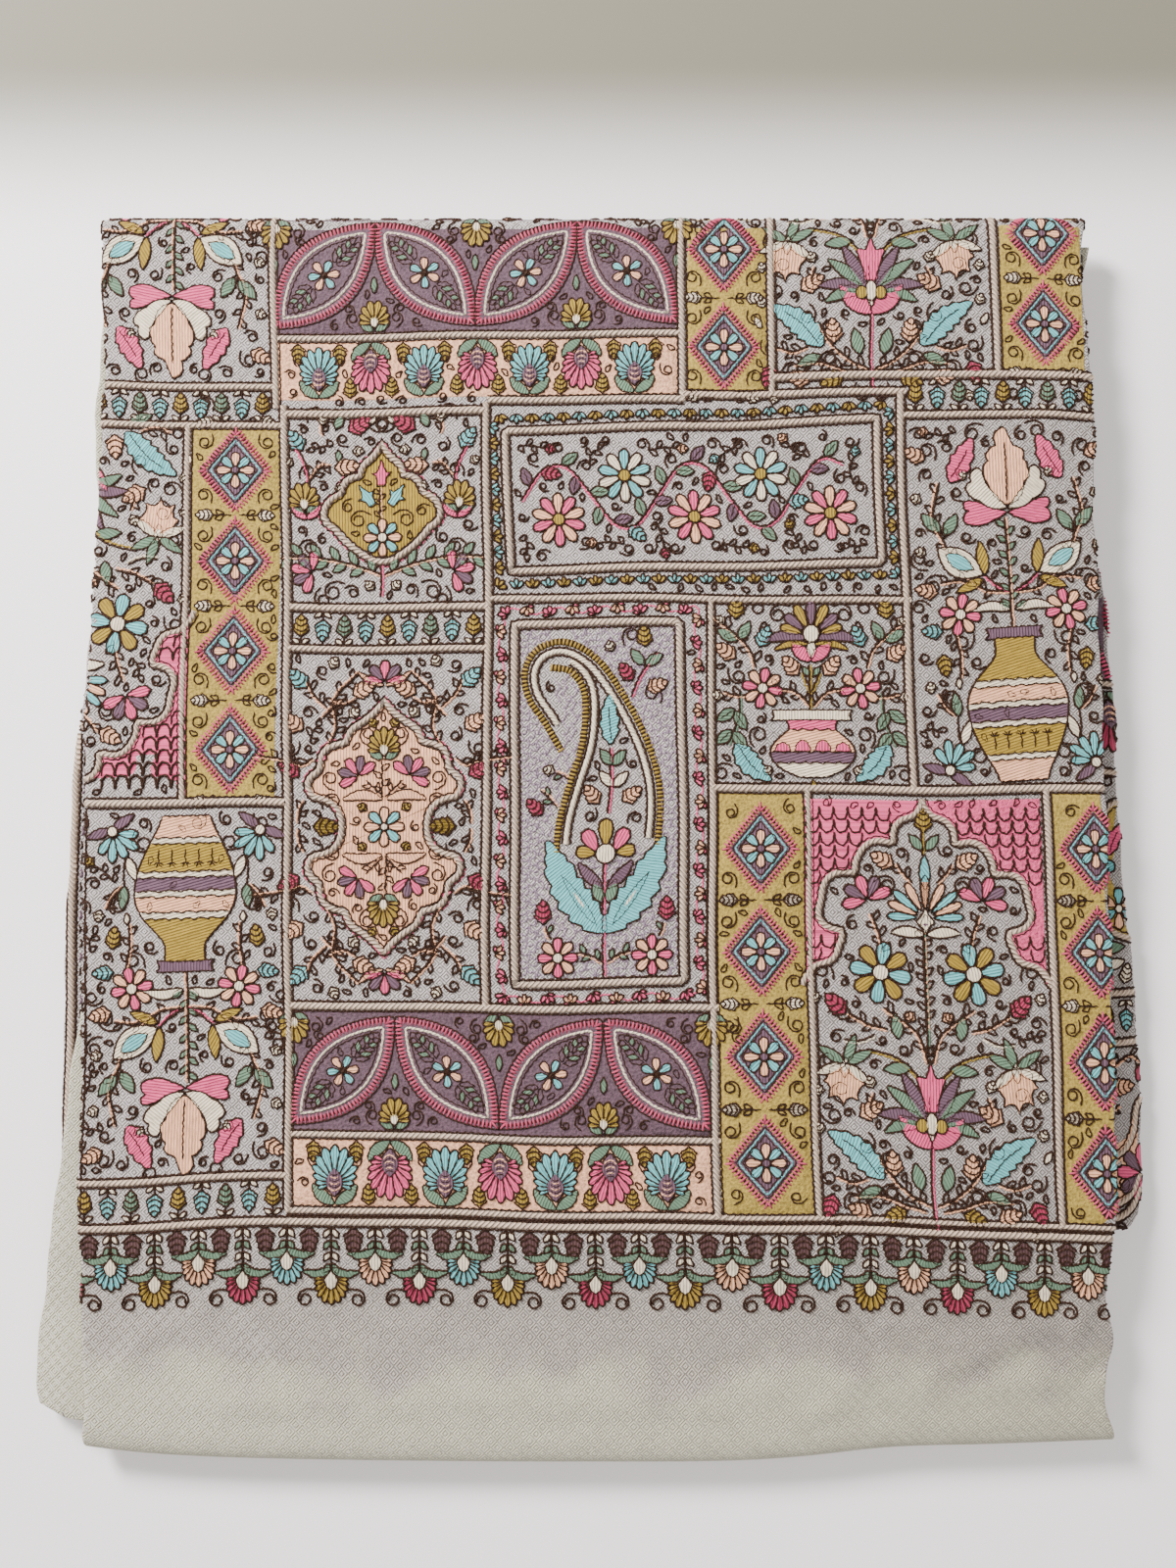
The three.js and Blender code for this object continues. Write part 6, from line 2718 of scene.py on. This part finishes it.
# What grows from the low vase, from its foot up.
SMALL_VASE_TREE = (
    (stalk, 0, 20.8, 0, [(0, 0), (0, 7), (0, 14)], OCHRE), (crown_flower, 0, 43.4, 0),
    (leaf, 0.6, 31, -34, 3.8, 1.9, GREEN), (stalk, 0.4, 25.6, -22, [(0, 0), (0.2, 4), (0, 7)], OCHRE),
    (bud, 4, 31.4, -38, PEACH, 5.8), (spray, 0.8, 21.4, -58, [(-1.4, 6), (1.4, 13)], 3.6, 2.4),
    (flower, 15, 27.4, 10, 8, 6.4, COSMOS, CREAM),
    (spray, 17.6, 33.4, -26, [(-0.8, 6), (1.6, 13), (5, 20)], 4, 3), (bud, 16, 40.2, 24, AQUA, 5.6),
    (bud, 23.2, 36.6, -56, PEACH, 5.8), (leaf, 22.6, 42, -62, 7.4, 3.6, GREEN),
    (leaf, 22.2, 42.2, 30, 7, 3.4, GREEN), (bud, 23.4, 48.8, 6, OCHRE, 5.8), (curl, 20.6, 51, 20, 4.2),
    (curl, 6, 52.4, -64, 4.6, -1), (bud, 26.6, 47, -50, CREAM, 3.6), (leaf, 14, 48, -150, 3.6, 1.6, None),
    (curl, 25.4, 34.2, -170, 4.2, -1), (spray, 19.4, 24.6, -82, [(0.6, 4), (0, 8)], 3.6, 2.4),
    (bud, 27, 24.8, -84, CREAM, 3.8), (stalk, 21.4, 26, 196, [(0, 0), (1.8, 8), (0.6, 17)], GREEN),
    (leaf, 23.6, 20.4, 150, 7, 3.6, GREEN, True), (leaf, 23.6, 20.8, 236, 6.8, 3.6, GREEN, True),
    (leaf, 24.4, 14, 140, 6.8, 3.6, GREEN, True), (leaf, 24.6, 14.4, 226, 6.6, 3.6, GREEN, True),
    (acanthus, 23, 10.4, 146, 15, 8.4, AQUA, 1.6, 5), (curl, 17.4, 8.6, -40, 4.6), (curl, 24, 3, -60, 4.2, -1),
    (bud, 13, 0.6, -30, CREAM, 3.6),
)


def picture_panels(needle: Needle) -> None:
    """Draw the face's panels of flowering trees, vases, medallions and the paisley.

    Args:
        needle: One in the cloth's own frame.
    """
    draw_each(needle, (
        (arch_panel, 98.8, 9.4, 0), (arch_panel, 85.4, 262, 0), (arch_panel, -160.2, 9.4, 180, -117),
        (vase_panel, 130.6, 14.8, 2.4), (vase_panel, -124, 3.6, 180), (vase_panel, -130.8, 248.8, 180),
        (medallion_panel, -63.8, 0.8, 0.6), (shield_panel, -65.6, 99.4, 0), (paisley_panel, 2.9, 22.2, 0.6),
        (wide_panel, 30.8, 102.4, 1.6), (small_vase_panel, 66, 15.6, 0)))


def under_strips(needle: Needle) -> None:
    """Draw what shows of the turn beneath the face, at its two sides.

    Args:
        needle: One in the cloth's own frame.
    """
    ground(needle, 140, 172, 47, 88, MAUVE_GROUND)
    ground(needle, 146, 172, 20, 44, PEACH_GROUND)
    for x0, y0, x1, y1, width in (
            (144, 86, 162, 83, 1.8), (146, 46.6, 172, 45, 1.8), (150, 18.8, 172, 17.8, 1.8),
            (152, -49.8, 174, -49, 2), (152, -65, 174, -64, 2),
            (-160.4, 30, -160.9, -100, 2.3), (-170, 32.8, -150, 32, 2)):
        needle.cord(np.array([(x0, y0), ((x0 + x1) / 2, (y0 + y1) / 2), (x1, y1)]), width)
    right_strip(needle)
    left_strip(needle)


def right_strip(needle: Needle) -> None:
    """Draw what shows at the right side, from the back to the front.

    Args:
        needle: One in the cloth's own frame.
    """
    for x, y, turn in ((152.6, 80, -30), (151, 74.5, 60)):
        needle.at(x, y, turn).petal(6.2, 3.6, PINK)
    needle.comb(curve([(149, 70), (153, 63), (157, 55), (159.4, 48)]), 3, PINK)
    needle.comb(curve([(158, 82), (160, 74), (159, 66), (164, 56)]), 2.8, ROSE)
    needle.at(158.4, 43.4, 186).palmette(ROSE, 0.96)
    for x, y, turn in ((151, 26, 30), (166.4, 23, -20)):
        needle.at(x, y, turn).bud(OCHRE, 5)
    draw_each(needle, ((curl, 156, 12.4, 20, 3.6, -1), (curl, 157.5, -20, 40, 3.4),
                       (curl, 160, -103, 150, 4.4), (curl, 158.6, -57, 0, 3), (curl, 155.4, 73, 10, 3)))
    shield = curve([(166, 9.6), (158.6, 8), (154.4, -1), (153.8, -14), (154.6, -25), (159, -30.6),
                    (170, -34)])
    needle.fan(np.vstack([shield, [(172, -30), (172, 6)]]), OCHRE_GROUND, 0.2, rings=2, kind=Kind.GROUND)
    needle.cord(shield, 1.9)
    draw_each(needle, (
        (acanthus, 158.4, -7.4, -20, 11, 5.6, PINK, 1, 3), (petal, 155.6, -12.4, -60, 5.4, 4.4, AQUA),
        (flower, 161.6, -23.6, 0, 6, 6.4, (AQUA, PEACH), CREAM, 0.22), (leaf, 155, -36, -84, 8.6, 3.6, GREEN),
        (leaf, 156, -41.6, -74, 7.6, 3.2, CREAM), (bud, 162.6, -46.6, -16, CREAM, 5)))
    bud_strip(needle, 153, 173, -63, -51.4)
    needle.sprig([(153, -70), (158, -72.4), (164, -69), (169, -72)])
    needle.sprig([(153, -88), (157, -86), (161, -84)])
    draw_each(needle, ((bud, 158, -78.4, -84, PEACH, 6), (petal, 167, -77, -10, 5.6, 3.6, ROSE),
                       (leaf, 157, -93, 10, 5, 2.4, GREEN)))
    rim = curve([(171, -80), (166.6, -84), (165.2, -92), (160.6, -98), (152, -99.4)])
    needle.fan(np.vstack([rim, [(150, -113), (160, -114), (168, -112), (174, -104), (175, -86)]]),
               PEACH_GROUND, 0.2, rings=3, kind=Kind.GROUND)
    needle.cord(rim, 1.9)
    half_flower(needle.at(168, -104.4, 84), 8.4)
    for low in (-113.6, -117.8):
        needle.cord(curve([(150, low - 0.6), (158, low), (164, low + 3), (167.4, low + 9)]), 1.9)
    for x in (155, 160.4):
        needle.at(x, -118.6, 170).bud(UMBER, 5.4)


def left_strip(needle: Needle) -> None:
    """Draw what shows at the left side: petals, and dashes along the cord.

    Args:
        needle: One in the cloth's own frame.
    """
    ground(needle, -166, -150, 60, 77, PINK_GROUND)
    for y, thread in ((56, OCHRE), (49, AQUA), (42, CREAM), (36.6, PEACH)):
        needle.at(-159.4, y, 60).petal(7, 4, thread)
    for number in range(26):
        y = 27 - 4.3 * number
        dash = np.array([(-158, y), (-157.4 - 0.4 * math.sin(number * 2.1), y - 1.4), (-158.2, y - 2.8)])
        needle.line(dash, BROWN if number % 3 else MAUVE, 1.3)


def scroll(needle: Needle, size: float) -> None:
    """Draw a tendril about the needle."""
    needle.curl(size, 1 if needle.work.random.random() < 0.5 else -1, centred=True)


def small_leaf(needle: Needle, length: float) -> None:
    """Draw the outline of a small leaf about the needle."""
    needle.at(0, -length / 2).leaf(length, length * 0.48, None)


def twig(needle: Needle, length: float) -> None:
    """Draw a twig about the needle, with a bud at its tip if it is long enough.

    Args:
        needle: Its place and direction.
        length: How long it is.
    """
    sway = needle.work.random.uniform(-0.14, 0.14) * length
    stalk = curve([(0, -0.5 * length), (sway, -0.05 * length), (0, 0.3 * length)])
    needle.line(stalk, width=0.75)
    pairs = 4 if length > 7 else 3
    for number in range(pairs):
        side = 52 if number % 2 else -52
        needle.heading(stalk, (number + 0.3) / pairs).at(0, 0, side).leaf(2.9, 1.5, None)
    tip = needle.at(0, 0.28 * length)
    if length > 7:
        threads = np.array([PEACH, OCHRE, PEACH, AQUA, ROSE], object)
        tip.bud(needle.work.random.choice(threads), 3.6)
    else:
        tip.leaf(2.9, 1.6, None)


def fill_gaps(needle: Needle, x0: float, y0: float, x1: float, y1: float) -> None:
    """Fill the empty places of the ground with buds, scrolls and small leaves, the largest first.

    Args:
        needle: One in the cloth's own frame.
        x0: The left edge.
        y0: The front edge.
        x1: The right edge.
        y1: The back edge.
    """
    cell = 0.8
    used = np.zeros((math.ceil((x1 - x0) / cell), math.ceil((y1 - y0) / cell)), bool)
    marks = np.concatenate([stitch.cover() for kind, stitches in needle.work.stitches.items()
                            if kind is not Kind.GROUND for stitch in stitches])
    i, j = ((marks - (x0, y0)) / cell).astype(int).T
    known = (i >= 0) & (j >= 0) & (i < used.shape[0]) & (j < used.shape[1])
    used[i[known], j[known]] = True
    room = np.zeros(used.shape, int)
    for step in range(1, 9):
        room[~used] = step
        grown = used.copy()
        grown[1:] |= used[:-1]
        grown[:-1] |= used[1:]
        grown[:, 1:] |= used[:, :-1]
        grown[:, :-1] |= used[:, 1:]
        used = grown
    random = needle.work.random
    for length in (10.4, 7):
        box = np.stack(np.meshgrid(np.arange(-2.8, 2.9, 0.7), np.arange(-0.56, 0.57, 0.08) * length), axis=-1)
        least = 4 if length > 8 else 3
        places = np.argwhere(room >= least)
        random.shuffle(places)
        for i, j in places:
            for turn in random.uniform(0, 360, 4 if room[i, j] >= least else 0):
                art = needle.at(x0 + (i + 0.5) * cell, y0 + (j + 0.5) * cell, turn)
                ends = ((art.on_cloth(box.reshape(-1, 2)) - (x0, y0)) / cell).astype(int)
                if (ends >= 0).all() and (ends < room.shape).all() and (room[tuple(ends.T)] >= 1).all():
                    twig(art, length)
                    room[tuple(ends.T)] = 0
                    break
    for least, draw, size in ((5, scroll, 3.2), (4, scroll, 2.4), (3, small_leaf, 3)):
        places = np.argwhere(room >= least)
        random.shuffle(places)
        reach = 2 * least - 2
        for i, j in places:
            if room[i, j] >= least:
                draw(needle.at(x0 + (i + 0.5) * cell, y0 + (j + 0.5) * cell, random.uniform(0, 360)), size)
                room[max(0, i - reach):i + reach + 1, max(0, j - reach):j + reach + 1] = 0


@dataclass
class Embroidery:
    """The embroidery of the face and of the turn beneath that shows at the sides."""

    bundle: Bundle

    def build(self) -> dict[str, list[Object]]:
        """Make the embroidery and give its objects by the cloth that carries them.

        Returns:
            Lists of objects by the cloth's name.
        """
        threads = {thread: thread.finish() for thread in Thread}
        face, under = Needlework(11), Needlework(12)
        self.face(Needle(face))
        under_strips(Needle(under))
        return {"top_cloth": face.lay(self.bundle.face, face_drift, "face_", threads),
                "under_cloth": under.lay(self.bundle.under, under_drift, "under_", threads)}

    def face(self, needle: Needle) -> None:
        """Draw the face's embroidery.

        Args:
            needle: One in the cloth's own frame.
        """
        panel_cords(needle)
        hanging_border(needle)
        face_ground(needle)
        picture_panels(needle)
        fill_gaps(needle, -156, -114, 158, 206)
        needle.line([(-154.9, 6), (-154.7, -56), (-154.5, -117)], width=1.1, wobble=0.24)


@dataclass(frozen=True)
class Studio:
    """The plain pale floor, the soft light and the camera at the photograph's angle."""

    tilt: float = 3.1
    lens: float = 35.0
    distance: float = 465.6
    target: tuple[float, float, float] = (-0.9, 13.7, 16.0)
    floor_size: float = 6000.0
    floor_colour: Colour = srgb(252, 246, 245)
    # Painted shade: the colour that the floor darkens to towards the back.
    far_colour: Colour = srgb(118, 113, 98)

    def build(self) -> None:
        """Make the floor, the lights and the camera."""
        self.floor()
        self.light("back_light", (-700, 760, 760), 340, 46.0)
        self.light("fill_light", (300, -500, 1500), 1300, 13.0)
        world = bpy.data.worlds.new("studio")
        world.use_nodes = True
        world.node_tree.nodes["Background"].inputs[0].default_value = (1.0, 0.985, 0.97, 1.0)
        world.node_tree.nodes["Background"].inputs[1].default_value = 0.56
        bpy.context.scene.world = world
        self.camera()

    def floor(self) -> None:
        """Make the floor, just under the shawl, with painted shade that darkens it towards the back."""
        half = self.floor_size / 2
        points = np.array([(x * half, y * half, -0.05) for x, y in ((-1, -1), (1, -1), (1, 1), (-1, 1))])
        finish = Finish("pale_floor", 0.6, 0.0)
        place = finish.node("ShaderNodeTexCoord", {}, {}).outputs["Object"]
        grain = finish.noise(place, 14.0)
        near = finish.blend(grain, tuple(0.97 * c for c in self.floor_colour[:3]) + (1.0,), self.floor_colour)
        split = finish.node("ShaderNodeSeparateXYZ", {}, {0: place})
        # Painted shade: from about 183 mm back, the floor darkens to the far colour.
        far_shade = Value(finish, split.outputs[1]).rise(0.183, 0.25)
        colour = finish.blend(far_shade, near, self.far_colour)
        floor = make_object("floor", points, [(0, 1, 2, 3)], None, [finish.finish(colour, grain, 0.02, 0.2)])

    def light(self, name: str, place: tuple[float, float, float], size: float, power: float) -> None:
        """Make a square area light that faces the shawl.

        Args:
            name: Its name.
            place: Where it is, in millimetres.
            size: How wide it is.
            power: Its power, in watts.
        """
        data = bpy.data.lights.new(name, "AREA")
        data.shape, data.size, data.energy = "SQUARE", size * MM, power
        light = bpy.data.objects.new(name, data)
        light.location = Vector(place) * MM
        light.rotation_euler = (-Vector(place)).to_track_quat("-Z", "Y").to_euler()
        bpy.context.scene.collection.objects.link(light)

    def camera(self) -> None:
        """Make the camera, which looks down with a slight tilt."""
        data = bpy.data.cameras.new("camera")
        data.sensor_fit, data.sensor_height, data.sensor_width, data.lens = "AUTO", 36.0, 36.0, self.lens
        data.clip_start = 0.01
        camera = bpy.data.objects.new("camera", data)
        angle = math.radians(self.tilt)
        back = Vector((0.0, -math.sin(angle), math.cos(angle))) * self.distance
        camera.location = (Vector(self.target) + back) * MM
        camera.rotation_euler = Euler((angle, 0.0, 0.0))
        bpy.context.scene.collection.objects.link(camera)
        bpy.context.scene.camera = camera


def main() -> None:
    """Build the shawl round the frame and report each piece."""
    logging.basicConfig(level=logging.INFO, format="%(name)s: %(message)s")
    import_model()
    Studio().build()
    bundle = Bundle()
    cloth = bundle.build()
    needlework = Embroidery(bundle).build()
    for name, node, slot, flat, rests_on in (
            ("top_cloth", "top_layer", "embroidered_cloth", (0.93, 0.43), ["pale_cloth"]),
            ("pale_cloth", "pale_under_layer", "pale_cloth", (0.93, 0.36), ["under_cloth"]),
            ("under_cloth", "embroidered_under_layer", "embroidered_cloth", (0.93, 0.285), ["hidden_cloth"]),
            ("hidden_cloth", "hidden_layers", "pale_cloth", (0.93, 1.07), [])):
        piece = cloth[name]
        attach(piece, "root")
        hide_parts(node)
        stitched = needlework.get(name, [])
        for obj in stitched:
            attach(obj, "root")
            LOG.info("%s: %d faces", obj.name, len(obj.data.polygons))
        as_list(rests_on)
        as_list(stitched)
        LOG.info("%s: %d faces", name, len(piece.data.polygons))


if __name__ == "__main__":
    main()
